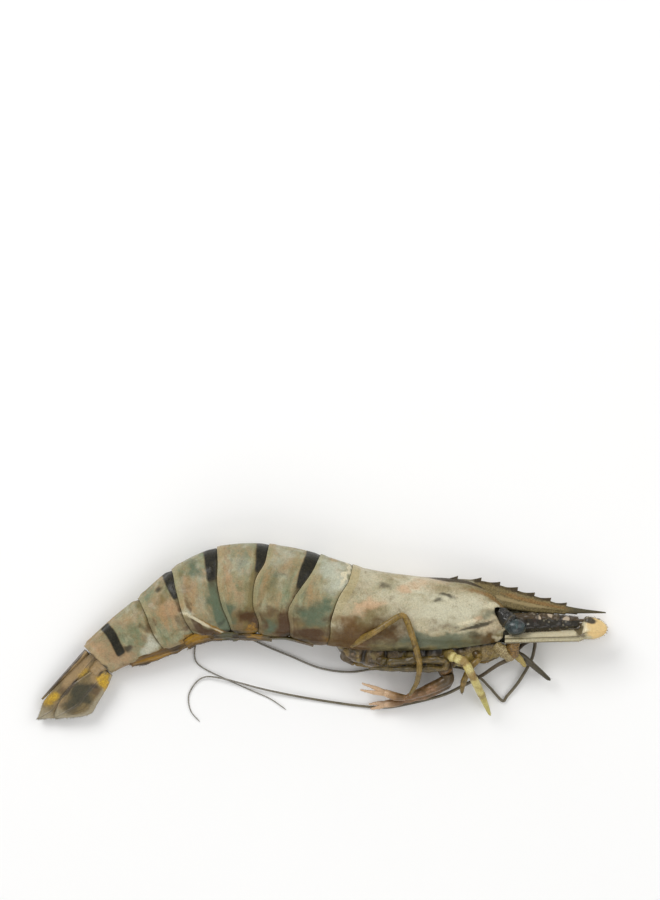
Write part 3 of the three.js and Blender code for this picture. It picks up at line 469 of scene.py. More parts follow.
carapaceLook = dict(
    shellLook, ground=((190, 181, 148), (204, 195, 166), (168, 154, 117)), mottle=8.0,
    clouds=[
        cloud(9, (142, 136, 104), 0.65, 0.4, 0.68, flow=(1.6, 1)),
        cloud(5.2, (200, 178, 144), 0.6, 0.44, 0.7, flow=(2.2, 1)),
        cloud(3.4, (208, 206, 182), 0.6, 0.48, 0.74, flow=(2, 1)),
        cloud(1.9, (120, 108, 70), 0.55, 0.5, 0.75, flow=(1.6, 1)),
        cloud(0.9, (138, 146, 122), 0.35, 0.5, 0.68),
        cloud(1.1, (206, 168, 132), 0.28, 0.52, 0.7),
    ],
    layers=[
        layer("pale", (214, 210, 184), 0.85, low=0.0, high=1.0, ragged=0.9),
        layer("low", (114, 102, 56), 0.88, low=0.0, high=0.8, ragged=1.0),
        layer("olive", tones["olive"], 0.75, low=0.0, high=0.95, ragged=1.0),
        layer("rose", (210, 172, 136), 0.7, low=0.0, high=0.9, ragged=0.9),
        layer("teal", (96, 106, 86), 0.85, low=0.0, high=0.95, ragged=1.0),
        layer("brown", (74, 44, 0), 0.94, low=0.0, high=1.0, ragged=1.0, second=(96, 62, 4)),
        # Pale rear rim: partly the rim's own colour, partly a painted highlight on the rounded rim
        layer("rim", (186, 170, 122), 0.5),
        layer("cream", tones["cream"], 0.75),
        layer("rostrum", (84, 70, 38), 0.92, ragged=0.8, second=(142, 124, 78)),
        layer("line", (124, 84, 42), 0.6, ragged=1.2, second=(160, 120, 64)),
        layer("ridge", (184, 164, 120), 0.45, ragged=1.2),
        # Dark along the rostrum's toothed crest, and along the back's crest, where it is partly painted shade
        # at the back's edge
        layer("crest", (44, 34, 20), 0.95, ragged=0.7, second=(66, 50, 28)),
        layer("tip", (66, 64, 50), 0.8),
        # Painted shadow along the seams
        layer("seam", (78, 70, 44), 0.7, low=0.2, high=0.9),
        # Dark marks, and painted shade on the carapace's lower margin past its edge
        layer("dark", tones["dark"], 0.85, low=0.05, high=0.8, ragged=0.9),
        # Painted shade on the turned-in rims, the front lining and the head's stem
        layer("inside", (30, 28, 22), 1.0, second=(44, 46, 36)),
    ])

shellFinish = makeFinish("tailShellFinish", shellLook)
carapaceFinish = makeFinish("carapaceFinish", carapaceLook)
undersideFinish = makeFinish("undersideFinish", {
    "ground": ((76, 58, 28), (102, 82, 42), (46, 36, 18)), "mottle": 3.0, "grainTone": (34, 27, 17),
    "grainAmount": 0.3, "gloss": (0.28, 0.5), "coat": 0.3, "flesh": 0.05, "wave": 0.3,
    "clouds": [
        cloud(3.4, (128, 112, 62), 0.6, 0.5, 0.68),
        cloud(2.2, (140, 108, 84), 0.5, 0.54, 0.7),
        cloud(2.6, (30, 27, 18), 0.7, 0.5, 0.66),
    ],
    "speckle": {"every": 0.8, "tone": (176, 140, 84), "amount": 0.25},
    "layers": [
        layer("groove", (26, 21, 14), 0.85),
        layer("front", (152, 130, 74), 0.8, ragged=0.9, second=(112, 92, 48)),
        # Painted highlight on the tops of the thorax's lumps
        layer("high", (144, 120, 66), 0.6, ragged=0.9),
        layer("gold", (158, 136, 66), 0.55, ragged=0.9),
        layer("shade", (20, 18, 12), 0.9),
    ],
})
print("finishes of the shell are ready")


tailSegments = {
    "round": 168,
    "frontRows": (2.8, 0.2), "middleStep": 0.4, "rearRows": (2.4, 0.16),  # length, and step between rows
    "tuck": 2.2, "firstTuck": 1.6, "tuckDepth": 0.5,  # how far and how deep it lies under the one ahead
    "tuckSteps": [(0.3, 0.35, 0.9), (0.2, 0.8, 2.9)],  # height, and where it starts and ends
    "rimFlare": (0.2, 3.0, 0.5),
    # The rear rim is rounded over and turned in on the next piece: how far back and how high.
    "rimTurn": [(0.45, 0.17), (0.53, 0.11), (0.57, 0.0), (0.54, -0.12), (0.44, -0.22), (0.2, -0.3)],
    "flapDrop": 1.0, "flapAt": [0, 0.12, 0.4, 0.68, 0.88, 1], "flap": [0, 0.5, 1, 1.05, 0.7, 0.05],
    # Ridges and furrows along it: turn, width and height
    "backRidge": (0, 0.13, 0.55), "backRidgeFrom": (46, 62), "sideFurrow": (2.0, 0.22, 0.3),
    "lowRidge": (2.42, 0.12, 0.16), "bellyBar": (math.pi, 0.3, 0.8), "bellyBarAt": (0.5, 0.14),
    "lumps": ((0.3, 8), (0.12, 3.4)),  # height and size
    "bandEdge": 0.65, "bandFade": 0.1, "trailShade": 0.3,
    "lowEdges": [0.8, 0.9, 0.9, 0.5, 0.1, 0.2],  # how brown each one's lower edge is
    # How far each seam bows tailwards, at these angles down the flank
    "seamTurns": [0, 0.6, 1.0, 1.4, 1.8, 2.2, 2.6, 3.15],
    "seamCurves": [
        [0.9, 0.6, 0.6, 1.9, 1.9, 0.4, 0, 0],
        [-3.3, -2.8, -2.1, -0.3, 1.8, -0.6, -1.8, -2],
        [-3.3, -3.1, -2.8, -0.8, -1.2, -4.4, -5.2, -5.2],
        [-2.6, -2.5, -2.2, -1.5, -1.9, -3.7, -4.8, -4.8],
        [-0.6, -0.5, 0.1, 0.6, 1.2, 0.5, -0.5, -0.5],
        [0.8, 0.4, 0.5, 0.6, 1.2, 0.7, 0, 0],
        [0] * 8,
    ],
    # Rear edge of the band that each segment carries on its front, and how far it reaches and trails
    "bands": {
        1: {"rear": [17.0, 17.1, 17.5, 17.3, 17.3, 17, 17, 17], "reach": 1.42, "trail": 1.7},
        2: {"rear": [31.8, 31.7, 31.4, 31.3, 31, 31, 31, 31], "reach": 1.2, "trail": 1.6},
        3: {"rear": [45.4, 45.5, 45.6, 45.9, 46, 46, 46, 46], "reach": 1.3, "trail": 1.5},
        4: {"rear": [58.7, 58.6, 58.6, 58.1, 57.6, 57, 57, 57], "reach": 1.36, "trail": 1.7},
        5: {"front": [80.7, 80.5, 80.3, 80.7, 81.4, 81.6, 82, 82],
            "rear": [83.3, 83.1, 83.1, 83.5, 84.4, 84.6, 84, 84], "reach": 1.88, "trail": 1.95},
    },
    # Coloured strip behind each seam: its rear edge and strength down the flank
    "strips": {
        0: {"tone": "olive", "rear": [2.0, 1.8, 1.6, 2.9, 3.2, 2.2, 2, 2],
            "strength": [0, 0, 0.3, 0.9, 0.9, 0.5, 0.3, 0]},
        1: {"tone": "brown", "rear": [17.0, 17.1, 17.5, 17.5, 18.7, 18.8, 18.5, 18],
            "strength": [0.3, 0.3, 0.3, 0.4, 0.6, 0.9, 0.9, 0.9]},
        2: {"tone": "olive", "rear": [32.4, 32.5, 32.5, 32.6, 33.0, 33.6, 34, 34],
            "strength": [0.6, 0.6, 0.75, 0.9, 0.95, 0.9, 0.8, 0.7]},
        3: {"tone": "teal", "rear": [45.6, 45.7, 45.8, 46.1, 46.3, 46, 45, 45],
            "strength": [0, 0, 0.3, 0.9, 1, 1, 0.8, 0.6]},
        4: {"tone": "brown", "rear": [58.8, 58.7, 58.7, 58.3, 58.3, 57.8, 57, 57],
            "strength": [0.3, 0.3, 0.3, 0.5, 0.6, 0.4, 0.3, 0.3]},
        5: {"tone": "olive", "rear": [70.3, 70.3, 70.1, 70.1, 70.3, 69.8, 69, 69],
            "strength": [0.9, 0.9, 0.9, 0.8, 0.7, 0.6, 0.4, 0.3]},
    },
    "tones": {
        # Pale patches: partly the shell's own pale colour, partly painted highlights
        "pale": [(3.2, 22.4, 4.4, 3.7, -20, 0.9), (7.3, 18.7, 2, 3.7, -25, 1),
                 (-13.1, 27.2, 3.7, 4.1, 0, 0.5), (-13.8, 18, 4.1, 3.4, 0, 0.35),
                 (-27.4, 25.5, 3.1, 4.8, 0, 0.3), (-40.3, 11.2, 3.1, 5.1, 0, 0.35),
                 (-58.2, -4.4, 3.2, 4.0, 0, 1), (4.4, 18.4, 4.8, 4.4, -20, 0.9),
                 (-45.4, 6.8, 3.1, 1.7, -10, 0.6), (3.2, 14.6, 2.7, 1.7, -20, 0.5),
                 (-22.9, 13.9, 3.4, 3.4, 0, 0.25)],
        "rose": [(-76.5, -7.5, 5.4, 4.6, 30, 0.9), (-80.5, -3.5, 3.4, 3.4, 30, 0.7),
                 (-32.1, 22.1, 1.7, 8.8, 3, 0.6), (-44.7, 16, 2.7, 4.4, 0, 0.5),
                 (-28.4, 13.9, 1.7, 6.1, 0, 0.6), (-13.1, 22.4, 3.4, 2.7, 0, 0.5),
                 (-51.2, 8.5, 3.4, 4.1, 20, 0.7), (-68.5, -8.2, 5.4, 2.7, 20, 0.9),
                 (-73.9, -4.1, 3.1, 3.1, 30, 0.6), (-18.2, 24.8, 1.7, 4.8, -15, 0.4),
                 (-57.6, 10.5, 3.4, 2.7, 30, 0.5), (-10, 10.2, 3.4, 2.7, 0, 0.3),
                 (-66.5, 5.1, 4.1, 2.7, 30, 0.45)],
        "teal": [(-1.9, 6.4, 5.8, 4.4, 0, 1), (1.9, 11.2, 2, 2.7, -30, 0.9), (-33.8, 7.1, 3.7, 6.5, 22, 1),
                 (-18.2, 2, 2.7, 3.4, 0, 0.8), (-37.9, 14.6, 2, 4.1, 10, 0.6),
                 (-43.7, 22.1, 3.1, 2.4, 20, 0.7), (-15.8, 18.7, 2.7, 4.1, 0, 0.35),
                 (-27, 26.2, 3.1, 4.1, 0, 0.4), (-64.1, -2.4, 3.1, 2, 30, 0.3),
                 (-49.1, 2, 2.4, 2.4, 0, 0.35), (-8, 14.6, 3.4, 2.7, 0, 0.3)],
        "brown": [(-23.4, 5.0, 3.9, 4.6, 0, 1), (-12.6, 3.4, 3.2, 5.4, -15, 1),
                  (4.6, 0.7, 4.4, 5.0, -20, 0.9), (-39.6, 1.2, 9.5, 2.2, -20, 1),
                  (-11.4, 2.4, 2.6, 4.6, -10, 1), (-4.4, -0.4, 7.4, 2.4, -5, 1),
                  (-5.9, -0.4, 3.4, 1.7, 0, 0.5), (-58.3, 2.4, 1.7, 3.1, 25, 0.5),
                  (-45.7, 9.5, 1.2, 3.4, 25, 0.5), (-16.8, 7.8, 2.7, 2.4, 0, 0.45),
                  (-7.3, 8.8, 4.1, 2, 10, 0.4), (-61, -2.7, 2.7, 1.7, 20, 0.2),
                  (-69.2, -11.9, 6.8, 1, 20, 0.3)],
        "olive": [(-17.5, 15.5, 4.4, 4.4, 0, 0.55), (-46.5, 18.0, 3.4, 4.4, 20, 0.55),
                  (-31.8, 14.6, 2, 3.4, 0, 0.4), (-24, 11, 3, 5, 0, 0.7), (-20.2, 14.6, 2.7, 4.8, -12, 0.5),
                  (-53.2, 12.6, 4.1, 2.4, 40, 0.7), (-25.3, 12.2, 2, 5.4, 0, 0.6),
                  (-10.7, 17, 2.4, 5.4, -20, 0.45), (-64.1, 2.7, 3.4, 3.1, 30, 0.3),
                  (-54.9, -2.4, 4.8, 2.4, 25, 0.35)],
        "dark": [(-29.1, -0.4, 3.1, 1.7, 0, 0.9), (-17.5, -3.4, 3.7, 1.2, 5, 1),
                 (-21.6, 7.1, 1.7, 1.4, 0, 0.5), (-34.2, 3.4, 1.4, 1.4, 0, 0.6),
                 (-55.6, 14.6, 1.7, 0.9, 40, 0.8), (-75.3, -11.6, 3.1, 1.4, -55, 0.9),
                 (-78.4, -7.2, 2.4, 1.2, -45, 0.9), (-11.4, -1, 2.4, 1.4, 0, 0.6),
                 (-7.3, -2.4, 7.5, 0.9, -10, 0.45), (8, -4.1, 2.7, 1.4, -20, 0.7),
                 (-66.1, -5.5, 1.7, 1, 30, 0.8)],
        "cream": [(8, 20.7, 1.2, 4.1, -18, 0.8), (-41.6, 4.1, 4.8, 0.55, -26, 0.9),
                  (-34.8, 0.7, 3.1, 0.4, -28, 0.7), (-46.1, 6.4, 2.4, 0.7, -10, 0.6),
                  (-20.2, 25.5, 1, 5.4, -12, 0.2)],
        "gold": [(-24.2, 1.0, 1.7, 1.5, 0, 1), (-21.4, -1.2, 2.2, 1.2, 0, 0.8),
                 (-37, 2.2, 6, 0.6, -26, 0.9), (-43.7, -2.7, 4.8, 1.5, 12, 1),
                 (-34.2, 0, 2.4, 0.7, -28, 0.9), (-53.2, -7.2, 10.2, 1, 16, 0.8),
                 (3.6, -2.4, 5.4, 1, -12, 0.35), (-42.7, -5.1, 4.8, 1, 18, 0.8)],
    },
}


def alongSeam(row, turn):
    return smoothRead(tailSegments["seamTurns"], row, turn)


def seamBow(index, turn):
    return alongSeam(tailSegments["seamCurves"][index], turn)


# A band is dark down to its reach, and leaves a fainter trail below it.
def bandValue(index, station, turn):
    look = tailSegments
    row = look["bands"].get(index)
    if row is None:
        return np.zeros_like(station)
    edge, fade = look["bandEdge"], look["bandFade"]
    rear = alongSeam(row["rear"], turn)
    inside = smoothStep(station, rear + edge, rear - edge)
    if "front" in row:
        front = alongSeam(row["front"], turn)
        inside = inside * smoothStep(station, front - edge, front + edge) * smoothStep(turn, 0.04, 0.12)
    fading = smoothStep(turn, row["reach"] + fade, row["reach"] - fade)
    trail = look["trailShade"] * smoothStep(turn, row["trail"] + 2 * fade, row["reach"])
    return inside * np.maximum(fading, trail)


def segmentPatch(index):
    look = tailSegments
    start, end = seams[index], seams[index + 1]
    isLast = index == len(seams) - 2
    tuck = look["tuck"] if index else look["firstTuck"]
    (frontLength, frontStep), (rearLength, rearStep) = look["frontRows"], look["rearRows"]
    flat = np.concatenate([np.arange(start - tuck, start + frontLength, frontStep),
                           np.arange(start + frontLength, end - rearLength, look["middleStep"]),
                           np.arange(end - rearLength, end + 0.4, rearStep)])
    grow = -look["tuckDepth"]
    for height, low, high in look["tuckSteps"]:
        grow = grow + height * smoothStep(flat, start + low, start + high)
    flare, low, high = look["rimFlare"]
    grow = grow + flare * smoothStep(flat, end - low, end - high)
    flat = np.concatenate([flat, [end + step for step, _ in look["rimTurn"]]])[:, None]
    grow = np.concatenate([grow, [level for _, level in look["rimTurn"]]])[:, None]
    along = (flat - start) / (end - start)
    angle = roundAngles(look["round"])[None, :]
    turn = fromBack(angle)
    drop = 0 if isLast else look["flapDrop"] * smoothRead(look["flapAt"], look["flap"], along)
    visible = smoothStep(flat, start + 0.6, start + 2.5) * smoothStep(flat, end + 0.3, end - 1.5)

    def rib(key):
        middle, width, height = look[key]
        return height * bump(turn, middle, width)

    relief = rib("backRidge") * smoothStep(flat, *look["backRidgeFrom"]) * visible
    if not isLast:
        relief = relief - rib("sideFurrow") * visible
    relief = relief + rib("lowRidge") * visible
    relief = relief + rib("bellyBar") * bump(along, *look["bellyBarAt"])
    passed = np.clip(along, 0, 1)
    shift = seamShift(angle)
    station = flat + seamBow(index, turn) * (1 - passed) + seamBow(index + 1, turn) * passed
    if isLast:
        shift = shift + (tailEndShift(angle) - seamShift(angle)) * passed

    def lay(extra):
        rise, side = skin(station, angle, grow + extra)
        return place(station + shift, rise - drop * np.maximum(-np.cos(angle), 0) ** 2, side)

    rings = lay(relief)
    (broad, broadSize), (small, smallSize) = look["lumps"]
    lift = lumpy(rings, [(broad, broadSize, index), (small, smallSize, index + 11)])
    rings = lay(relief + lift * visible * smoothStep(turn, 0.05, 0.3))
    values = toneValues(rings, look["tones"])
    strip = look["strips"][index]
    rear = alongSeam(strip["rear"], turn)
    level = alongSeam(strip["strength"], turn) * smoothStep(station, rear + 0.8, rear - 0.8)
    values[strip["tone"]] = np.maximum(values[strip["tone"]], level)
    # A paler bloom behind the strip on the upper flank: partly the shell's pale colour, partly a painted
    # highlight
    behind = 0.45 * bump(station, rear + 2.2, 1.6) * smoothStep(turn, 1.7, 1.0)
    values["pale"] = np.maximum(values["pale"], behind * smoothStep(waviness(rings, 3.4, 12), -0.3, 0.3))
    # Paler along the rounded rear rim, fading down the flank: partly the rim's colour, partly a painted
    # highlight
    rim = smoothStep(flat, end - 1.6, end - 0.5) * (1 - 0.6 * smoothStep(turn, 1.9, 2.4))
    # Painted shadow: a thin dark line just behind the rim of the segment ahead, and darkening under this
    # one's turned-in rim
    seam = 0.75 * bump(flat, start + 0.6, 0.55) * smoothStep(turn, 0.3, 1.2)
    seam = seam + 0.8 * smoothStep(grow, -0.02, -0.2) * smoothStep(flat, start + 4, start + 5)
    # Painted shade: the tucked front, which lies under the segment ahead, is painted dark
    tucked = smoothStep(grow, -0.35, -0.5) * smoothStep(flat, start + 4, start - 0.5)
    return tube(rings, place(start - tuck, 0, 0), place(end, 0, 0), band=bandValue(index, station, turn),
                rim=rim, seam=np.minimum(seam, 1), belly=smoothStep(turn, 2.2, 2.75), inside=tucked,
                lowEdge=smoothStep(turn, 1.66, 2.1) * look["lowEdges"][index],
                flowAlong=station, flowRound=turn * 12, **values)


for index in range(len(seams) - 1):
    makePiece(f"tailSegment{index + 1}", [segmentPatch(index)], shellFinish,
              [f"abdomen_segment_{index + 1}"])
print("tail segments are built")


carapace = {
    "length": 54, "round": 184, "seamFade": 12, "rimWidth": 3.2,
    "rowShares": [(0, 0.06, 0.0035), (0.06, 0.8, 0.0085), (0.8, 1, 0.005)],  # from, to and step
    "orbitNotch": (1.08, 0.34, 3.4),  # turn, width and depth
    "cheekSpine": (1.62, 0.11, 1.5),  # turn, width and height
    "frontFallsBack": (3, 2.2, 3.0),  # depth, and the turns where it starts and ends
    "lowerEdge": 2.7, "edgeStep": (2.6, 0.13), "edgeFrom": (1.5, 5), "frontLip": (0.25, 0.5),
    # The rear rim turns in at the start, and the front edge turns in to a lining, painted dark as shade, at
    # the end:
    # how far forward and how high.
    "rearTurn": [(-0.2, -0.3), (-0.44, -0.22), (-0.54, -0.12), (-0.57, 0.0), (-0.53, 0.12)],
    "lining": [(0.12, -0.05), (0.1, -0.2), (-0.1, -0.36), (-0.8, -0.5), (-2.4, -0.7), (-5, -1.2)],
    # Ridges and furrows along it: turn, width, height, and where they start and are full
    "ridges": [(2.6, 0.07, 0.25, 1.5, 5), (0, 0.1, 0.5, 24, 34), (0.26, 0.08, -0.35, 30, 38),
               (0.4, 0.07, 0.2, 32, 40)],
    "lumps": [(0.34, 11, 21), (0.16, 4.5, 22)],
    "tones": {
        "pale": [(32.0, 15.8, 7.2, 3.4, -4, 1), (40.3, 7.8, 12.6, 4.8, -4, 1),
                 (52.2, 10.5, 4.8, 3.1, 0, 0.8), (25, 11.2, 8.8, 3.4, 0, 0.55),
                 (53.2, 6.4, 4.8, 2, 10, 0.6), (15.8, 18.7, 4.1, 2.7, -20, 0.5)],
        "rose": [(33.5, 16.4, 6, 1.6, -5, 0.6), (28.7, 14.9, 3.1, 1.7, -5, 1), (15.5, 8.6, 5.4, 2.4, 15, 1),
                 (9.7, 2.7, 3.4, 2.7, 0, 0.5), (53.9, 5.4, 2, 1, 0, 0.8), (36.9, 17.7, 6.8, 1, -3, 0.45),
                 (13.4, -3.4, 2.4, 1.4, 20, 0.7)],
        "olive": [(54.8, 7.6, 3.1, 2.2, -10, 0.6), (15, 1.5, 9, 4.4, 5, 1), (17.2, 5.8, 4.8, 3.1, 10, 0.9),
                  (10.4, 14.6, 1.7, 3.4, -60, 0.45), (42, 15.3, 5.4, 1.4, -6, 0.5),
                  (59, 13.9, 5.4, 1.7, -12, 0.8), (24, 7.1, 4.1, 2.4, 0, 0.35)],
        "brown": [(10.4, -0.8, 9.6, 5.6, 10, 1), (21.0, 0.6, 7.4, 4.4, 0, 0.9), (11, -5.5, 7, 2, 0, 1),
                  (40.6, 3, 5.8, 1.4, -2, 0.45), (56.6, -2.4, 4.8, 3.1, 0, 0.75),
                  (55.6, -7.5, 7.5, 1.7, 3, 0.9), (14.1, 17, 2.4, 4.8, -70, 0.25)],
        "teal": [(37.6, -2.4, 14.3, 2.7, -3, 1), (52.5, -2.4, 6.1, 2.4, 0, 0.6),
                 (29.4, -3.1, 4.8, 3.1, 0, 0.55), (57.3, 7.1, 3.1, 2.7, 0, 0.55),
                 (24, -2.4, 4.1, 3.1, 0, 0.35)],
        "dark": [(21.9, 16, 3.1, 1.4, -5, 0.45), (42.7, 12.6, 3.7, 0.9, -20, 0.75),
                 (38.9, 11.7, 1.7, 0.8, 0, 0.6), (53.2, 2.4, 7.1, 0.7, 14, 1), (45.4, -6.5, 7.5, 1.4, 0, 1),
                 (26.7, -6.1, 11.6, 1.2, 0, 0.6), (59.7, 6.8, 1.7, 2.4, 0, 0.7),
                 (45.4, 2.7, 2, 0.9, -10, 0.4), (53.2, -0.4, 2.4, 1.4, 0, 0.4),
                 (21.3, -3.8, 6.1, 1.2, -5, 0.4)],
        "cream": [(49.5, 4.1, 4.4, 0.7, 14, 0.9), (59.7, -1.4, 2, 1, 0, 0.7),
                  (32.1, 2.7, 3.1, 2.7, -50, 0.35), (58, 9.8, 3.1, 1, -10, 0.7)],
    },
    # Ridges and furrows: x, y, length, width, turn, height
    "relief": [(50.5, 3.4, 7.5, 0.9, 14, 0.5), (52, 1.6, 7, 0.9, 14, -0.45), (44.5, 8.5, 1.2, 4.6, -28, -0.4),
               (38, 12.4, 6, 0.8, -12, -0.25), (56, 8.4, 5, 0.8, -4, 0.3), (55.5, 11.9, 7, 0.9, -6, -0.35),
               (36, -5.0, 20, 0.9, -3, 0.25), (36, -3.2, 20, 0.9, -3, -0.2)],
}


def frontEdge(turn):
    look = carapace
    (notchTurn, notchWidth, notch), (spineTurn, spineWidth, spine) = look["orbitNotch"], look["cheekSpine"]
    fall, fallFrom, fallTo = look["frontFallsBack"]
    edge = look["length"] - notch * bump(turn, notchTurn, notchWidth)
    edge = edge + spine * bump(turn, spineTurn, spineWidth)
    return edge - fall * smoothStep(turn, fallFrom, fallTo)


def carapacePatch():
    look = carapace
    angle = roundAngles(look["round"])[None, :]
    turn = fromBack(angle)
    front = frontEdge(turn)
    share = np.concatenate([np.arange(*row) for row in look["rowShares"]] + [[1.0]])[:, None]
    at = share * front - 0.4 * (1 - smoothStep(share, 0, 0.05))
    grow = 0.22 * smoothStep(at, 3.6, 0.8) - 0.06 * bump(at, look["rimWidth"] + 0.3, 0.6)
    (step, stepWidth), lowerEdge = look["edgeStep"], look["lowerEdge"]
    below = smoothStep(turn, lowerEdge, lowerEdge + stepWidth)
    grow = grow - step * below * smoothStep(at, *look["edgeFrom"])
    for middle, width, height, low, high in look["ridges"]:
        grow = grow + height * bump(turn, middle, width) * smoothStep(at, low, high)
    lip, lipWidth = look["frontLip"]
    grow = grow + lip * bump(at, front - 0.5, lipWidth)
    rearTurn, lining = look["rearTurn"], look["lining"]
    at = np.vstack([*[np.full_like(turn, step) for step, _ in rearTurn], at,
                    *[front + step for step, _ in lining]])
    grow = np.vstack([*[np.full_like(turn, level) for _, level in rearTurn], grow,
                      *[grow[-1:] + level for _, level in lining]])
    fade = 1 - smoothStep(at, 0, look["seamFade"])
    shift = seamShift(angle) * fade
    flat = -at + seamBow(0, turn) * fade

    def lay(extra):
        rise, side = skin(flat, angle, grow + extra)
        return place(flat + shift, rise, side)

    rings = lay(0)
    onFlank = smoothStep(turn, 0.1, 0.3) * smoothStep(turn, 2.68, 2.5)
    lift = lumpy(rings, look["lumps"])
    for x, y, length, width, way, height in look["relief"]:
        lift = lift + height * toneValues(rings, {"one": [(x, y, length, width, way, 1)]}, 0.4)["one"]
    rings = lay(lift * onFlank)
    values = toneValues(rings, look["tones"])
    # Painted shade: the turned-in rear rim and the front lining are painted dark
    inside = np.zeros_like(rings[..., 0])
    inside[:4] = 1
    inside[-4:] = 1
    # Paler along the rear rim, fading down the flank: partly the rim's colour, partly a painted highlight
    rim = smoothStep(at, look["rimWidth"], look["rimWidth"] - 1.6) * (1 - 0.8 * smoothStep(turn, 1.0, 1.9))
    # Dark line along the back's crest: partly a dark dorsal line, partly painted shade at the back's edge
    crest = 0.85 * smoothStep(turn, 0.34, 0.14) * smoothStep(at, 18, 34)
    onBack = smoothStep(turn, 0.95, 0.45)
    # Painted shade: past its lower edge the carapace is painted near-black, as the shade between it and the
    # thorax
    underEdge = smoothStep(turn, lowerEdge, lowerEdge + 0.1)
    values["dark"] = np.maximum(values["dark"], 0.9 * underEdge)
    values["olive"] = np.maximum(values["olive"], 0.75 * (onBack * smoothStep(at, 26, 44)))
    low = smoothStep(turn, 1.65, 2.3) * (0.75 + 0.25 * smoothStep(at, 20, 34))
    return tube(rings, place(1.2, 0, 0), place(-46, 0, 0), inside=inside, rim=rim, crest=crest, low=low,
                rostrum=0.8 * onBack * smoothStep(at, 38, 51),
                line=0.8 * bump(turn, 0.6, 0.12) * smoothStep(at, 36, 46),
                flowAlong=flat, flowRound=turn * 11, **values)


rostrum = {
    "start": 24, "end": 88.8, "rows": 430, "round": 60,
    "crestAt": [27, 36, 46, 54, 66, 76, 88.8], "crest": [14, 15.1, 15.1, 13.6, 10.5, 8, 6.75],
    "keelAt": [27, 36, 46, 53, 58, 64.5, 73.6, 80, 88.8],
    "keel": [9.5, 9.3, 8.6, 6.3, 5.4, 5.0, 5.4, 5.8, 6.3],
    "rootSinks": (1.4, 32, 24),  # depth, and where it starts and ends
    "thickness": (2.6, 0.8), "thinsFrom": 44, "lean": 0.55,  # how far the teeth's tips lean forward
    "sideRidge": (0.42, 0.10, 0.4),  # share of the height, width and how far out
    "teeth": {"first": 37, "last": 75, "count": 7, "crowding": 0.85, "height": 1.15},
    "keelTeeth": {"first": 71, "last": 79, "count": 3, "crowding": 1, "height": 0.4},
    "toothRoot": 3.7,
    # How far its sides spread at its root to meet the carapace, by distance forward
    "flareAt": [30, 44, 48, 52, 57, 64, 72], "flare": [1.6, 3.4, 3.6, 2.3, 1.0, 0.45, 0.2],
}


# Height of one edge's saw teeth: each rises slowly and falls steeply in front of its tip.
def sawTeeth(at, row):
    height = np.zeros_like(at)
    for i in range(row["count"]):
        tip = row["first"] + (row["last"] - row["first"]) * (i / (row["count"] - 1)) ** row["crowding"]
        behind = np.clip((at - (tip - rostrum["toothRoot"])) / rostrum["toothRoot"], 0, 1)
        tooth = behind ** 1.5 * smoothStep(at, tip + 0.28, tip - 0.12)
        height = np.maximum(height, row["height"] * tooth)
    return height


def rostrumPatch():
    look = rostrum
    at = np.linspace(look["start"], look["end"], look["rows"])[:, None]
    angle = roundAngles(look["round"])[None, :]
    sink, sinkFrom, sinkTo = look["rootSinks"]
    upper = smoothRead(look["crestAt"], look["crest"], at) - sink * smoothStep(at, sinkFrom, sinkTo)
    teeth, keelTeeth = sawTeeth(at, look["teeth"]), sawTeeth(at, look["keelTeeth"])
    lower = smoothRead(look["keelAt"], look["keel"], at)
    share = 0.5 + 0.5 * signedPower(np.cos(angle), 0.85)
    rise = lower - keelTeeth * smoothStep(share, 0.4, 0) + (upper - lower) * share \
        + teeth * smoothStep(share, 0.6, 1)
    root, tip = look["thickness"]
    thick = root + (tip - root) * smoothStep(at, look["thinsFrom"], look["end"])
    outward = signedPower(np.sin(angle), 0.8)
    middle, width, height = look["sideRidge"]
    ridge = bump(share, middle, width) * smoothStep(at, 44, 54) * smoothStep(at, 84, 70) * height
    flare = smoothRead(look["flareAt"], look["flare"], at) * np.maximum(1 - share, 0) ** 1.5
    side = outward * (thick / 2 * 1.15 * (1 - 0.45 * share) + ridge + flare)
    lean = look["lean"] * (teeth / look["teeth"]["height"]) * smoothStep(share, 0.75, 1)
    rings = place(-(at + lean), rise, side)
    rings[..., 2] += 0.15 * waviness(rings, 3.5, 77) * smoothStep(share, 1.0, 0.7)
    return tube(
        rings, rostrum=smoothStep(at, 38, 50),
        crest=smoothStep(share, 0.74, 0.92) * (0.5 + 0.5 * smoothStep(teeth, 0.1, 0.8)),
        line=bump(share, 0.66, 0.10) * smoothStep(at, 50, 58) * smoothStep(at, 80, 70),
        ridge=bump(share, 0.44, 0.09) * smoothStep(at, 48, 54) * smoothStep(at, 74, 64),
        tip=smoothStep(at, 72, 82), dark=0.8 * smoothStep(share, 0.2, 0.02) * smoothStep(at, 50, 58),
        flowAlong=-at, flowRound=rise)


# The stem of the head inside the carapace's front, painted dark all over as shade, with cream patches
headStem = {
    "from": 44, "to": 68, "rows": 80, "round": 72,
    "at": [44, 50, 54, 58, 63, 68], "up": [8, 7.4, 6.2, 5.6, 4.8, 4.0],
    "down": [6, 5.8, 5.4, 4.8, 3.6, 2.6], "half": [5.6, 5.4, 4.6, 3.4, 2.4, 1.2],
    "lumps": [(0.5, 3.0, 31), (0.3, 1.4, 32)],
}


def headStemPatch():
    look = headStem
    at = np.linspace(look["from"], look["to"], look["rows"])[:, None]
    angle = roundAngles(look["round"])[None, :]
    up, down, half = [smoothRead(look["at"], look[key], at) for key in ("up", "down", "half")]
    rise = np.where(np.cos(angle) > 0, up, down) * np.cos(angle)
    rings = place(-at, rise, half * np.sin(angle))
    rings = rings + lumpy(rings, look["lumps"])[..., None] * [0, 0.6, 1]
    return tube(rings, inside=1.0, cream=0.5 * smoothStep(waviness(rings, 2.6, 33), 0.28, 0.5))


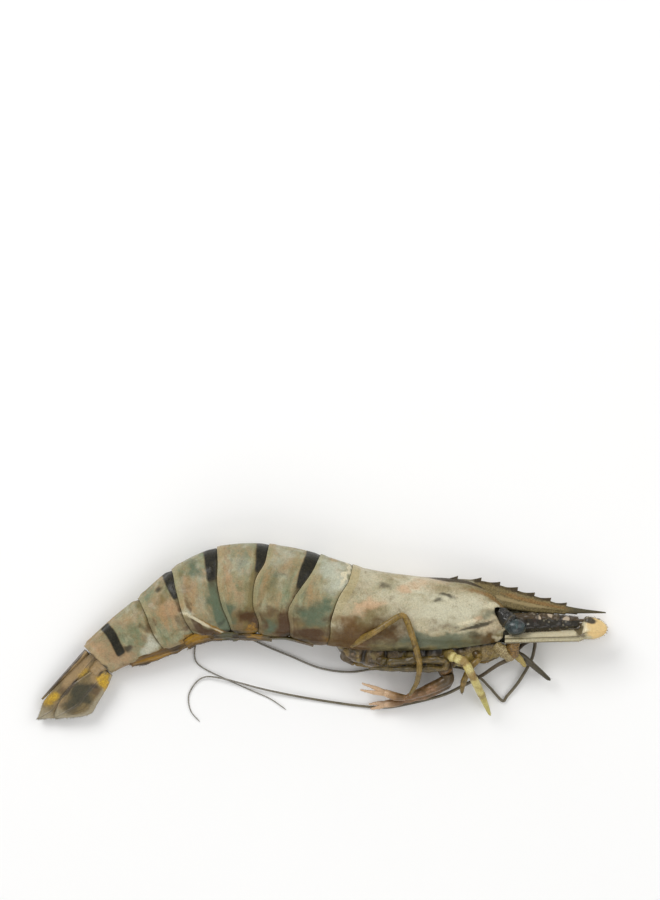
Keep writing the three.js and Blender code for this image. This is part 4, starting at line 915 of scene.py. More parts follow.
makePiece("carapaceAndRostrum", [carapacePatch(), rostrumPatch(), headStemPatch()], carapaceFinish,
          ["carapace"])

sternum = {
    "rows": 150, "round": 72, "half": 5.2, "frontHalf": 2.4, "roundness": 0.7,
    "at": [0.4, 3, 6, 11, 20, 31, 42, 49, 53.6],
    "top": [-9, -9, -9, -8, -7, -6, -4, -3, -2.5],
    "bottom": [-13.6, -15.6, -17, -18.0, -17.9, -16.7, -13.7, -11.9, -10.2],
    "grooves": [9, 15.5, 22, 28.5, 35, 41, 46.5], "grooveWidth": 0.7,
    "lumps": [(0.5, 4.2, 41), (0.35, 2.0, 42)],
}


def sternumPatch():
    look = sternum
    at = np.linspace(look["at"][0], look["at"][-1], look["rows"])[:, None]
    angle = roundAngles(look["round"])[None, :]
    half = look["half"] + (look["frontHalf"] - look["half"]) * at / carapace["length"]
    top, bottom = smoothRead(look["at"], look["top"], at), smoothRead(look["at"], look["bottom"], at)
    groove = sum(bump(at, middle, look["grooveWidth"]) for middle in look["grooves"])
    share = 0.5 + 0.5 * signedPower(np.cos(angle), look["roundness"])
    middle = (top + bottom) / 2
    rise = middle + (bottom + (top - bottom) * share - middle) * (1 - 0.14 * groove)
    side = half * signedPower(np.sin(angle), look["roundness"]) * (1 - 0.22 * groove)
    rings = place(-at, rise, side)
    lump = lumpy(rings, look["lumps"])
    rings[..., 2] += lump
    rings[..., 1] += 0.5 * waviness(rings, 3.6, 43) * smoothStep(share, 0.6, 0)
    # high is a painted highlight: paler where the lumps rise up
    return tube(rings, groove=np.minimum(groove, 1), high=0.7 * smoothStep(lump, 0.05, 0.35),
                shade=smoothStep(share, 0.45, 0.75), front=smoothStep(at, 38, 47),
                gold=smoothStep(waviness(rings, 5, 44), 0.15, 0.45))


makePiece("thoraxUnderside", [sternumPatch()], undersideFinish, ["thorax_underside"])
print("carapace, rostrum and thorax are built")


# Places and headings at shares t of a smooth curve through the points
def curveThrough(points, tension, t):
    points = np.asarray(points, float)
    ends = np.vstack([2 * points[0] - points[1], points, 2 * points[-1] - points[-2]])
    along = np.asarray(t) * (len(points) - 1)
    i = np.clip(np.floor(along).astype(int), 0, len(points) - 2)
    w = (along - i)[:, None]
    p0, p1, p2, p3 = ends[i], ends[i + 1], ends[i + 2], ends[i + 3]
    startWay, endWay = tension * (p2 - p0), tension * (p3 - p1)
    square = -3 * p1 + 3 * p2 - 2 * startWay - endWay
    cube = 2 * p1 - 2 * p2 + startWay + endWay
    where = p1 + startWay * w + square * w ** 2 + cube * w ** 3
    return where, unit(startWay + 2 * square * w + 3 * cube * w ** 2)


# The two directions across a heading, the first one level with the ground
def crossWays(way):
    across = unit(np.cross(way, [0.0, 0.0, 1.0]))
    return across, np.cross(across, way)


# A jointed limb: its skin swells at each joint and draws in just past it. Its value "along" goes from 0 to 1.
def limb(points, radii, sides=20, perJoint=16, tension=0.3, flatness=1.0, swell=0.07, pinch=0.12, bulge=0.08,
         ends=(True, True), joints=None):
    count = len(points)
    t = np.linspace(0, 1, perJoint * (count - 1) + 1)
    where, way = curveThrough(points, tension, t)
    along = t * (count - 1)
    radius = np.interp(along, np.arange(count), radii)
    lengths = np.linalg.norm(np.diff(np.asarray(points, float), axis=0), axis=1)
    joint = np.zeros_like(along)
    for i in joints if joints is not None else range(1, count - 1):
        span = min(lengths[i - 1], lengths[i])
        off = (along - i) * np.where(along < i, lengths[i - 1], lengths[i])
        width = max(radii[i] * 0.9, 0.02 * span)
        swollen = swell * bump(off, -0.35 * width, width)
        radius = radius * (1 + swollen - pinch * bump(off, 0.55 * width, width * 0.4))
        joint = np.maximum(joint, bump(off, 0, width * 1.3))
    within = along - np.floor(np.minimum(along, count - 1 - 1e-9))
    radius = radius * (1 + bulge * np.sin(math.pi * within) ** 2)
    if ends[0]:
        radius[:3] *= [0.35, 0.75, 0.93]
    if ends[1]:
        radius[-3:] *= [0.9, 0.7, 0.4]
    across, over = crossWays(way)
    angle = roundAngles(sides)
    ring = across[:, None] * np.cos(angle)[:, None] + over[:, None] * np.sin(angle)[:, None] * flatness
    rings = where[:, None] + ring * radius[:, None, None]
    rings[..., 2] = np.maximum(rings[..., 2], 0.0)
    run = np.concatenate([[0], np.cumsum(np.linalg.norm(np.diff(where, axis=0), axis=1))])
    return tube(rings, joint=joint[:, None], along=t[:, None], run=run[:, None])


# Hairs that stand round a limb between two shares of its length.
def limbHairs(points, radii, start, end, count, length, tension=0.3, seed=3, **values):
    dice = np.random.default_rng(seed)
    t = dice.uniform(start, end, count)
    where, way = curveThrough(points, tension, t)
    across, over = crossWays(way)
    angle = dice.uniform(0, fullTurn, count)
    out = across * np.cos(angle)[:, None] + over * np.sin(angle)[:, None]
    radius = np.interp(t * (len(points) - 1), np.arange(len(points)), radii)
    return hairs(where + out * radius[:, None] * 0.9, out + way * 0.8, np.full(count, length), 0.045,
                 seed=seed + 1, **values)


# Moves places from the limb tables' own zero to the part's
def shifted(points):
    return np.asarray(points, float) + [-0.5, 1.0, 0.0]


legGround = {
    "grainTone": (52, 38, 18), "grainAmount": 0.3, "gloss": (0.28, 0.46), "coat": 0.18, "flesh": 0.08,
    "mottle": 2.6, "wave": 0.1, "ragged": 1.1,
    "clouds": [
        cloud(3.2, (144, 120, 62), 0.6, 0.42, 0.68),
        cloud(1.6, (56, 42, 20), 0.7, 0.48, 0.7),
    ],
}
brownLegFinish = makeFinish("brownLegFinish", dict(
    legGround, ground=((118, 94, 32), (144, 116, 46), (86, 64, 20)),
    speckle={"every": 0.7, "tone": (60, 42, 20), "amount": 0.5},
    layers=[
        layer("joint", (160, 128, 62), 0.6, ragged=0.8),
        layer("along", (104, 92, 58), 0.6, low=0.5, high=1.1),
        layer("dusk", (46, 46, 32), 0.92, ragged=0.8, second=(66, 60, 38)),
        layer("root", (58, 46, 24), 0.9, ragged=0.9, second=(88, 68, 34)),
    ]))
yellowLegFinish = makeFinish("yellowLegFinish", dict(
    legGround, ground=((206, 190, 112), (218, 206, 142), (182, 160, 84)),
    clouds=[
        cloud(3, (160, 130, 58), 0.6, 0.5, 0.7),
    ],
    speckle={"every": 0.8, "tone": (142, 118, 54), "amount": 0.35},
    layers=[
        layer("joint", (134, 98, 42), 0.75, ragged=0.9),
        layer("along", (188, 182, 92), 0.7, low=0.55, high=1.0),
        layer("root", (84, 66, 30), 0.85, ragged=0.9, second=(128, 102, 48)),
    ]))
clawFinish = makeFinish("clawFinish", dict(
    legGround, ground=((118, 86, 46), (142, 106, 64), (88, 62, 30)),
    clouds=[
        cloud(3.4, (74, 62, 32), 0.75, 0.44, 0.68),
        cloud(2, (174, 128, 92), 0.6, 0.48, 0.7),
    ],
    speckle={"every": 0.8, "tone": (76, 48, 24), "amount": 0.45},
    layers=[
        layer("hand", (168, 134, 96), 0.8),
        layer("finger", (218, 184, 148), 0.9),
        layer("root", (54, 44, 24), 0.92, ragged=0.9, second=(84, 66, 34)),
    ]))

# Each limb's joints from knee to foot, the radius at each, and its hip, where it leaves the thorax
legs = {
    "maxilliped_right": {"hip": (59.0, -7.2, 8.8), "radii": [1.2, 1.15, 1.05, 0.6], "dusk": 1, "joints": [
        (62.9, -8.1, 9.7), (67.6, -8.4, 9.4), (72.1, -11.8, 8.4), (78.5, -17.3, 5.6)]},
    "maxilliped_left": {"hip": (59.0, -7.2, 7.6), "radii": [1, 1, 0.9, 0.5], "dusk": 1, "joints": [
        (62.9, -8.1, 7), (67.6, -8.4, 6.7), (71.8, -11.6, 5.2), (76.6, -15.7, 1.4)]},
    "leg_1_right": {"hip": (52.6, -7.6, 11.0), "radii": [1, 1.1, 0.95, 0.45], "joints": [
        (54.4, -9.4, 13.2), (51, -12.9, 13.2), (48.7, -18.2, 9.6), (48.3, -21.8, 7.6)]},
    "leg_1_left": {"hip": (50.6, -8.2, 6.4), "radii": [1, 0.95, 0.5], "joints": [
        (53, -10.2, 5), (56.4, -10.6, 4.8), (61, -9, 4.2)]},
    "leg_2_right": {"hip": (43.4, -8.0, 12.6), "radii": [1.4, 1.45, 1.35, 1.3, 0.4], "joints": [
        (45.6, -9.4, 17.2), (49, -10.7, 17.2), (51.7, -15.5, 16.2), (55, -22.2, 10.4), (58.1, -29.4, 4.6)]},
    "leg_2_left": {"hip": (44.0, -9.4, 6.2), "radii": [1.1, 1.1, 1, 1, 0.4], "joints": [
        (46.2, -11, 4.6), (49.2, -12, 4.9), (51.8, -15.7, 4.9), (54.3, -21.3, 3.1), (57, -27.5, 1.3)]},
    "leg_4_right": {"hip": (19.6, -9.6, 12.4), "radii": [1.25, 1.3, 1.15, 1, 0.9, 0.55], "dusk": 0.5,
                    "waver": 0.4, "joints": [
                        (22.5, -10.9, 15.5), (32, -10.2, 15.6), (42.2, -10.3, 15.5), (41.8, -13, 14.9),
                        (30, -13.3, 15.2), (16.5, -13, 15)]},
    "leg_4_left": {"hip": (20.2, -9.2, 6.4), "radii": [1.1, 1.1, 0.7], "joints": [
        (23, -9.7, 4.4), (32, -9.7, 4.1), (41.5, -10, 3.9)]},
    "leg_5_left": {"hip": (9.4, -9.6, 6.6), "radii": [1.1, 1, 0.7], "joints": [
        (11.8, -11.3, 5), (21, -12.4, 3.7), (38.5, -12.5, 3.5)]},
}
drapedLeg = {
    "hip": (9.0, -8.4, 12.0), "hipRadius": 1.3, "lift": 1.1,  # lift over the carapace that it lies on
    "joints": [(9.2, -5.6, 15), (18.5, -0.4, 15), (27.9, 5.2, 15), (31.2, -1.6, 15), (33.6, -10.2, 18.9),
               (33.6, -14, 17.8), (32.8, -18, 14), (30.4, -22.3, 12.2)],
    "radii": [1.45, 0.95, 1.0, 1.05, 0.95, 0.9, 0.82, 0.55],
}
claws = {
    "right": {
        "hip": (41.6, -10.8, 12.0),
        "arm": [(43.4, -14.9, 12.2), (43.2, -17.2, 11.6), (36, -20.6, 10), (29.2, -23.2, 8.6)],
        "hand": [(29.2, -23.2, 8.6), (25.6, -22.7, 8.4), (22, -21.4, 8)],
        "tips": [(14.2, -18.3, 7.2), (13.6, -20.5, 7.2)],
    },
    "left": {
        "hip": (41.8, -11.4, 6.6),
        "arm": [(43.6, -16, 6), (42.6, -18.6, 5.8), (36, -22, 5), (28.6, -24.4, 4.2)],
        "hand": [(28.6, -24.4, 4.2), (25.4, -25, 4), (22, -25.5, 3.6)],
        "tips": [(16.6, -25.6, 3), (17.2, -27.2, 3)],
    },
    "armRadii": [1.9, 2.1, 1.75, 1.0], "handRadii": [1.0, 1.5, 1.2], "fingerRadii": [0.95, 0.72, 0.22],
    "hipRadius": 1.9, "fingerHairs": (0.5, 0.95),  # the hairs stand between these shares of a finger
}


# Height of the right flank over a point of the ground, 0 beside it
def flankHeight(x, y):
    stations = np.arange(-carapace["length"], 0.1, 0.25)
    angles = np.linspace(0.05, math.pi - 0.05, 160)
    rise, side = skin(stations[:, None], angles[None, :])
    skinPoints = place(stations[:, None], rise, side)
    gap = np.hypot(skinPoints[..., 0] - x, skinPoints[..., 1] - y)
    return skinPoints[..., 2].ravel()[gap.argmin()] if gap.min() < 1.5 else 0.0


hips = {"radii": (1.5, 1.45, 1.35, 1.1), "lumps": (0.3, 2.2, 13), "sunk": 0.35, "lower": 0.4,
        "rootFades": (0.97, 0.6)}


# The first article of a leg, from inside the thorax to the leg's first joint
def hipPatch(hip, knee, radius):
    look = hips
    back = hip - (knee - hip) * look["sunk"] - [0, 0, look["lower"]]
    radii = [radius * share for share in look["radii"]]
    patch = limb([back, hip, (hip + knee) / 2 + [0, 0, 0.1], knee], radii, perJoint=9, swell=0.04, pinch=0.1)
    ripple(patch, *look["lumps"])
    patch["values"]["root"] = smoothStep(patch["values"]["along"], *look["rootFades"])
    patch["values"]["joint"] = 0.3 * patch["values"]["joint"]
    patch["values"]["along"] = np.zeros_like(patch["values"]["along"])
    return patch


# Roughens a limb's skin without lengthening it, and keeps it above the ground.
def ripple(patch, height, size, seed, floor=0.05):
    patch["points"] = patch["points"] + height * waviness(patch["points"], size, seed)[:, None] * [0, 1, 1]
    patch["points"][:, 2] = np.maximum(patch["points"][:, 2], floor)


for name, look in legs.items():
    joints = shifted(look["joints"])
    shaft = limb(joints, look["radii"])
    ripple(shaft, look.get("waver", 0.12), 3, 18, lowest)
    patches = [shaft, hipPatch(shifted([look["hip"]])[0], joints[0], look["radii"][0]),
               limbHairs(joints, look["radii"], 0.55, 0.98, 40, 0.6, seed=len(name) * 7 + len(joints))]
    for patch in patches:
        patch["values"]["dusk"] = np.full(len(patch["points"]), float(look.get("dusk", 0)))
    kind, *rest = name.split("_")
    isYellow = name.startswith("leg_2")
    makePiece(kind + "".join(rest).title(), patches, yellowLegFinish if isYellow else brownLegFinish, [name])

joints = shifted(drapedLeg["joints"])
for point, radius in zip(joints, drapedLeg["radii"]):
    point[2] = max(point[2], flankHeight(point[0], point[1]) + radius + drapedLeg["lift"])
makePiece("drapedLeg", [limb(joints, drapedLeg["radii"], tension=0.35, perJoint=14),
                        hipPatch(shifted([drapedLeg["hip"]])[0], joints[0], drapedLeg["hipRadius"]),
                        limbHairs(joints, drapedLeg["radii"], 0.7, 0.98, 30, 0.6, 0.35, 17)],
          brownLegFinish, ["leg_5_right"])

for sideName in ("right", "left"):
    look = claws[sideName]
    arm, hand, tips, hip = [shifted(look[key]) for key in ("arm", "hand", "tips", "hip")]
    palm = limb(hand, claws["handRadii"], sides=24, joints=[], bulge=0.02, ends=(False, False))
    palm["values"]["hand"] = smoothStep(palm["values"]["along"], 0.1, 1.0)
    palm["values"]["finger"] = smoothStep(palm["values"]["along"], 0.4, 1.2)
    upper = limb(arm, claws["armRadii"], sides=28, perJoint=20, joints=[], bulge=0.04, ends=(True, False))
    ripple(upper, 0.25, 3.2, 66)
    upper["values"]["root"] = smoothStep(upper["values"]["along"], 0.75, 0.15)
    patches = [upper, palm, hipPatch(hip, arm[0], claws["hipRadius"])]
    for i, tip in enumerate(tips):
        wrist = hand[-1] + (hand[1] - hand[-1]) * 0.35
        middle = wrist + (tip - wrist) * 0.5 + [0, 0.25 if i == 0 else -0.25, 0]
        finger = limb([wrist, middle, tip], claws["fingerRadii"], sides=16, flatness=0.8, joints=[], bulge=0,
                      ends=(False, True))
        finger["values"]["hand"] = np.ones(len(finger["points"]))
        finger["values"]["finger"] = 0.5 + 0.5 * smoothStep(finger["values"]["along"], 0.1, 1.1)
        patches.append(finger)
        patches.append(limbHairs([wrist, middle, tip], claws["fingerRadii"], *claws["fingerHairs"], 24, 0.5,
                                 seed=60 + i, finger=1))
    patches.append(limbHairs(arm, claws["armRadii"], 0.1, 0.95, 70, 0.6, seed=71))
    makePiece(f"clawLeg{sideName.title()}", patches, clawFinish, [f"leg_3_{sideName}"])
print("legs and claws are built")

eyeFinish = makeFinish("eyeFinish", {
    "ground": ((24, 32, 33), (52, 68, 68), (12, 14, 14)), "mottle": 2.6, "grain": 0.3, "grainTone": (8, 8, 8),
    "grainAmount": 0.3, "gloss": (0.16, 0.32), "coat": 0.45, "wave": 0.05, "pit": 0.05, "pitEvery": 0.22,
    "grit": 0.02,
    "clouds": [
        # Painted glints: teal clouds on the dark eye
        cloud(2.4, (98, 124, 122), 0.7, 0.54, 0.68),
        cloud(3.0, (40, 26, 26), 0.6, 0.5, 0.66),
    ],
    "layers": [
        layer("stalk", (34, 30, 18), 0.97, second=(12, 11, 8)),
        layer("collar", (96, 84, 52), 0.7, ragged=0.9),
    ],
})
antennuleFinish = makeFinish("antennuleFinish", {
    "ground": ((14, 13, 7), (28, 24, 13), (8, 8, 5)), "mottle": 2.4, "grainTone": (140, 118, 84),
    "grainAmount": 0.08, "gloss": (0.24, 0.42), "coat": 0.25, "specular": 0.35, "flesh": 0.02,
    "clouds": [
        cloud(4, (58, 36, 30), 0.6, 0.5, 0.66),
    ],
    "speckle": {"every": 1.5, "tone": (196, 186, 156), "amount": 0.3},
    "layers": [
        layer("top", (84, 66, 40), 0.85, ragged=1.0, second=(46, 36, 22)),
        layer("blotch", (198, 180, 156), 0.75),
        layer("joint", (18, 16, 12), 0.8),
        layer("whip", (92, 74, 48), 0.9),
    ],
})
scaleFinish = makeFinish("scaleBladeFinish", {
    "ground": ((194, 182, 144), (210, 200, 166), (164, 150, 110)), "mottle": 3.4, "grainTone": (118, 102, 66),
    "grainAmount": 0.2, "gloss": (0.26, 0.42), "coat": 0.35, "flesh": 0.15,
    "speckle": {"every": 0.9, "tone": (104, 90, 58), "amount": 0.2},
    "layers": [
        layer("cream", (230, 220, 188), 0.85),
        layer("greyEdge", (184, 178, 150), 0.8, second=(158, 148, 114)),
        layer("groove", (64, 54, 32), 0.85),
        layer("peach", (226, 194, 132), 0.92, low=0.1, high=0.6),
        layer("olive", (88, 74, 42), 0.85),
        layer("dark", (34, 30, 24), 0.95),
        layer("hair", (188, 166, 116), 0.9),
    ],
})
antennaFinish = makeFinish("antennaFinish", {
    "ground": ((98, 90, 68), (120, 110, 84), (78, 68, 48)), "mottle": 4.0, "grainTone": (56, 48, 34),
    "grainAmount": 0.25, "gloss": (0.3, 0.5), "coat": 0.25,
    "rings": {"every": 0.55, "tone": (64, 56, 40), "amount": 0.45, "wobble": 0.6, "height": 0.05},
    "layers": [
        layer("pale", (158, 154, 144), 0.95, second=(128, 122, 110)),
        layer("stem", (62, 48, 26), 0.85, second=(84, 66, 38)),
        layer("base", (150, 112, 46), 0.95, second=(98, 72, 32)),
        layer("heel", (122, 100, 54), 0.92, ragged=0.9, second=(190, 172, 122)),
        layer("palp", (180, 158, 84), 0.9),
    ],
})

eye = {
    "radius": 3.45, "stretch": (1.08, 0.84, 1), "at": 58.2, "rise": 0.25, "side": 5.75, "flatness": 0.86,
    "rows": 60, "round": 72, "stalkRows": 34, "stalkFlatness": 0.9,
    "stalkAt": 53.4, "stalkRise": 4.3, "stalkSide": 4.4,
    "stalkShares": [-0.25, 0, 0.3, 0.55, 0.72], "stalkRadii": [1.7, 2.3, 2.6, 2.85, 2.4],
    "lumps": [(0.35, 2.6, 15), (0.2, 1.3, 16)],
}


def eyePatches(side):
    look = eye
    root = place(-look["stalkAt"], look["stalkRise"], side * look["stalkSide"])
    centre = place(-look["at"], look["rise"], side * look["side"])
    way = unit(centre - root)
    across, over = crossWays(way)
    angle = roundAngles(look["round"])

    def ringsAt(middles, radii, flat):
        ring = across * np.cos(angle)[:, None] + over * np.sin(angle)[:, None]
        rings = middles[:, None] + ring[None] * np.asarray(radii)[:, None, None]
        rings[..., 2] = middles[:, None, 2] + (rings[..., 2] - middles[:, None, 2]) * flat
        return rings

    dome = np.linspace(0.12, math.pi - 0.04, look["rows"])
    middles = centre - way * look["radius"] * np.cos(dome)[:, None]
    middles[:, 2] = centre[2] - way[2] * look["radius"] * np.cos(dome) * look["flatness"]
    ball = ringsAt(middles, look["radius"] * np.sin(dome), look["flatness"])
    ball = centre + (ball - centre) * look["stretch"]
    length = np.linalg.norm(centre - root)
    t = np.linspace(look["stalkShares"][0], look["stalkShares"][-1], look["stalkRows"])
    radii = np.interp(t, look["stalkShares"], look["stalkRadii"])
    stalk = ringsAt(root + way * (t * length)[:, None], radii, look["stalkFlatness"])
    stalk = stalk + lumpy(stalk, look["lumps"])[..., None]
    return [tube(ball, collar=smoothStep(dome, 0.75, 0.6)[:, None], stalk=0.0),
            tube(stalk, stalk=1.0, collar=0.5 * bump(t, 0.5, 0.06)[:, None])]


antennule = {
    "from": 54.9, "to": 80.0, "side": (2.75, 2.15), "rows": 120, "round": 48,
    "reach": [0, 0.3, 0.7, 1.0], "radii": [1.8, 2.2, 2.1, 1.65], "deep": [2.6, 3.25, 2.65, 1.7],
    "rises": [1.75, 1.95, 2.45, 2.75],
    "joints": [0.42, 0.74, 1.0], "jointWidth": (0.02, 0.03), "pinch": 0.12, "swell": 0.06,
    "sideDip": (0.18, 0.45),  # depth and width of the hollow along its side
    "lumps": [(0.26, 2.0, 91), (0.2, 4.2, 94)],
    "whip": [(-2, 0.5, 2, 0.5), (3, 0.9, 1.6, 0.4), (7, 1.5, 1.2, 0.22)],  # ahead, spread, side, radius
    "hairs": {"count": 80, "length": 0.7, "thickness": 0.045, "seed": 90},
}


def antennulePatches(side):
    look = antennule
    t = np.linspace(0, 1, look["rows"])
    at = look["from"] + (look["to"] - look["from"]) * t
    pinchWidth, swellWidth = look["jointWidth"]
    joint = sum(bump(t, j, pinchWidth) for j in look["joints"][:-1])
    swollen = sum(bump(t, j - swellWidth, swellWidth) for j in look["joints"])
    shape = 1 + look["swell"] * swollen - look["pinch"] * joint
    shape[:3] *= [0.5, 0.8, 0.95]
    shape[-4:] *= [0.93, 0.82, 0.65, 0.35]
    radius, deep = [np.interp(t, look["reach"], look[key]) * shape for key in ("radii", "deep")]
    angle = roundAngles(look["round"])
    out = look["side"][0] + (look["side"][1] - look["side"][0]) * t
    dip, dipWidth = look["sideDip"]
    dip = 1 - dip * bump(fromBack(angle), math.pi / 2, dipWidth)
    middle = smoothRead(look["reach"], look["rises"], t)
    rise = middle[:, None] + deep[:, None] * np.cos(angle)
    away = side * (out[:, None] + radius[:, None] * np.sin(angle) * dip)
    rings = place(-at[:, None], rise, away)
    rings = rings + lumpy(rings, look["lumps"])[..., None] * [0, 1, 1]
    top = smoothStep(np.cos(angle), 0.25, 0.5)[None, :]
    blotch = top * smoothStep(waviness(rings, 3.4, 92), 0.16, 0.4) * smoothStep(t, 0.2, 0.4)[:, None]
    patches = [tube(rings, joint=np.minimum(joint, 1)[:, None], top=top, blotch=blotch)]
    for way in (1, -1):
        points = [place(-(look["to"] + ahead), look["rises"][-1] + way * spread, side * away)
                  for ahead, spread, away, _ in look["whip"]]
        whip = limb(points, [row[3] for row in look["whip"]], sides=12, perJoint=14, swell=0, pinch=0)
        whip["values"]["whip"] = np.ones_like(whip["values"]["along"])
        patches.append(whip)
    # Hairs along the upper and the lower edge
    row = look["hairs"]
    dice = np.random.default_rng(row["seed"])
    t = dice.uniform(0.1, 1.0, row["count"])
    spread = dice.choice([-1.0, 1.0], row["count"])
    deep = np.interp(t, look["reach"], look["deep"])
    at = look["from"] + (look["to"] - look["from"]) * t
    middle = smoothRead(look["reach"], look["rises"], t)
    roots = place(-at, middle + spread * deep * 0.95, side * 2.6)
    ends = place(-(at + 1.0), middle + spread * (deep + 0.7), side * 2.8)
    lengths = np.full(row["count"], row["length"])
    patches.append(hairs(roots, ends - roots, lengths, row["thickness"], whip=0.7))
    return patches


scaleBlade = {
    "from": 54.8, "to": 89.3, "thickness": 1.1, "rollFrom": 0.72, "roundFrom": 0.8,
    "outer": ((-5.4, -3.3, -2.7), (6.6, 7.6, 6)), "inner": ((-2.0, 0.9, 4.8), (1.4, 1, 5)),
    "tones": {
        "olive": [(87.8, 1.0, 1.3, 3.0, 30, 1), (70, -4.4, 4, 1.2, 0, 0.4)],
        "peach": [(94.2, 2.2, 3.9, 4.4, 0, 1)],
        "dark": [(91.2, 4.2, 2.2, 1.1, -5, 1)],
    },
}


def roundedOff(t, start):
    past = np.maximum(t - start, 0) / (1 - start)
    return np.maximum(np.sqrt(np.maximum(1 - past ** 2, 0)), 0.06)


# Shares from 0 to 1 that lie closer together towards the end
def closingShares(count, power):
    return 1 - (1 - np.linspace(0, 1, count)) ** power


# A thin leaf between two edges, with ribs. Ribs and values are given across it, from -1 to 1.
def leaf(left, right, ahead, thickness, ribs, sides=72, **values):
    across = (right - left) / 2
    middle = (right + left) / 2
    normal = unit(np.cross(across, ahead))
    angle = roundAngles(sides)
    over = np.cos(angle)
    level = signedPower(np.sin(angle), 0.7)
    height = np.asarray(thickness)[:, None] / 2 * level[None, :]
    height = height + ribs(over[None, :], np.linspace(0, 1, len(left))[:, None]) * np.sign(level)[None, :]
    rings = middle[:, None] + across[:, None] * over[None, :, None] + normal[:, None] * height[..., None]
    rings[..., 2] = np.maximum(rings[..., 2], lowest)
    return tube(rings, **{key: value(rings, over[None, :]) for key, value in values.items()})


# Hairs along one edge of a leaf, leaning towards its tip.
def edgeHairs(inner, edge, ahead, count, length, seed, lean=0.9, start=0.0):
    dice = np.random.default_rng(seed)
    t = np.sort(dice.uniform(start, 1.0, count)) * (len(edge) - 1)
    i = np.minimum(t.astype(int), len(edge) - 2)
    w = (t - i)[:, None]
    roots = edge[i] * (1 - w) + edge[i + 1] * w
    middles = inner[i] * (1 - w) + inner[i + 1] * w
    out = unit(roots - middles)
    ways = out + unit(ahead[i]) * lean
    return hairs(roots - out * 0.15, ways, np.full(count, length), seed=seed + 1, hair=1)


def scalePatches(side):
    look = scaleBlade
    t = closingShares(110, 1.6)
    at = look["from"] + (look["to"] - look["from"]) * t
    level = np.minimum(t / look["roundFrom"], 1)
    roll = smoothStep(t, look["rollFrom"], look["roundFrom"])

    def edge(rows):
        return [(row[0] + (row[1] - row[0]) * level) * (1 - roll) + row[2] * roll for row in rows]

    (outerRise, outerSide), (innerRise, innerSide) = edge(look["outer"]), edge(look["inner"])
    outer, inner = place(-at, outerRise, side * outerSide), place(-at, innerRise, side * innerSide)
    inset = ((1 - roundedOff(t, look["roundFrom"])) / 2)[:, None]
    left, right = inner + (outer - inner) * inset, outer + (inner - outer) * inset
    ahead = place(-at - 1, 0, 0) - place(-at, 0, 0)
    thickness = look["thickness"] * (1 - 0.45 * t)

    def ribs(over, t):
        return 0.35 * bump(over, 0.78, 0.1) + 0.18 * bump(over, 0.3, 0.1) - 0.08 * bump(over, 0.5, 0.08) \
            + 0.03 * np.sin(over * 26 + t * 9)

    blade = leaf(left, right, ahead, thickness, ribs, greyEdge=lambda rings, over: smoothStep(over, 0.4, 0.6),
                 cream=lambda rings, over: smoothStep(over, 0.36, 0.1),
                 groove=lambda rings, over: bump(over, 0.42, 0.06) + 0.6 * smoothStep(over, 0.93, 0.99))
    blade["values"].update(toneValues(blade["points"], look["tones"], 0.6))
    middle = (left + right) / 2
    patches = [blade]
    for i, rim in enumerate((left, right)):
        patches.append(edgeHairs(middle, rim, ahead, 80, 0.7, 101 + i, start=0.35 if i else 0.2))
    return patches


antennae = {
    "right": {
        "base": [(65.9, -2.6, 12.4), (65.6, -6.8, 13.2), (66.2, -9.4, 12.6)],
        "heel": [(59.4, -5.0, 12.6), (62.4, -7.6, 13.0), (66.0, -9.9, 12.4)],
        "palp": [(66.4, -8.4, 12.4), (68.4, -10.4, 11.9), (69.9, -12.6, 11.4)],
        "whip": [(66, -9.3, 12.4), (60.5, -11.9, 10.6), (55.1, -15.6, 8), (48.3, -19.4, 5.8),
                 (40.8, -22.8, 2.6), (27.2, -26.1, 0.9), (20.4, -26.7, 0.7), (10.2, -25.8, 0.6),
                 (-6.8, -23.1, 0.9), (-19.7, -20.4, 1.6), (-27.2, -18.4, 1.7), (-34, -16.7, 1.6),
                 (-39.1, -16.3, 1.1), (-42.5, -18.4, 0.5), (-44.9, -22.8, 0.4), (-44.2, -27.9, 0.4),
                 (-41.1, -31.6, 0.4)],
    },
    "left": {
        "base": [(65.6, -3.4, 3.8), (65.6, -7.2, 3.6), (66.8, -8.4, 3.5)],
        "heel": [(60, -5.6, 3.9), (62.6, -7.2, 3.8), (65.6, -8.4, 3.6)],
        "palp": [(66.2, -8.2, 3.7), (67.6, -9.7, 3.3), (68.8, -11.4, 2.8)],
        "whip": [(66.4, -8, 3.8), (69, -5.2, 5.2), (71.6, -3.9, 6), (73.2, -4.2, 5.7), (73, -7, 4),
                 (71.9, -10.9, 2.2), (68, -17.7, 1.6), (63.9, -22.8, 1), (62.2, -24.4, 0.9),
                 (57.8, -19.7, 1.5), (53.7, -16, 2.1), (45.9, -12.9, 1.9), (27.2, -13.4, 0.9),
                 (19.7, -13.4, 0.8), (10.2, -14.6, 0.7), (0, -13.3, 0.6), (-10.2, -9.2, 0.55),
                 (-19.4, -5.4, 0.5), (-28.9, -1, 0.5), (-38, -0.8, 0.5), (-42, -4.2, 0.5),
                 (-42.8, -9.6, 0.5), (-40.5, -12.9, 0.45), (-32.3, -17, 0.4), (-23.1, -21.1, 0.4),
                 (-17, -23.8, 0.4), (-11.6, -27.5, 0.4)],
    },
    "whipRadius": (0.8, 0.16, 0.6),  # at the root, at the tip, and how fast it thins
    "baseRadii": (1.7, 2.1, 1.3), "heelRadii": (1.6, 1.9, 1.2), "palpRadii": (1.1, 1, 0.5),
    "stemFades": (0.22, 0.06), "palesAt": (0.35, 0.75),  # shares of the feeler's length
}


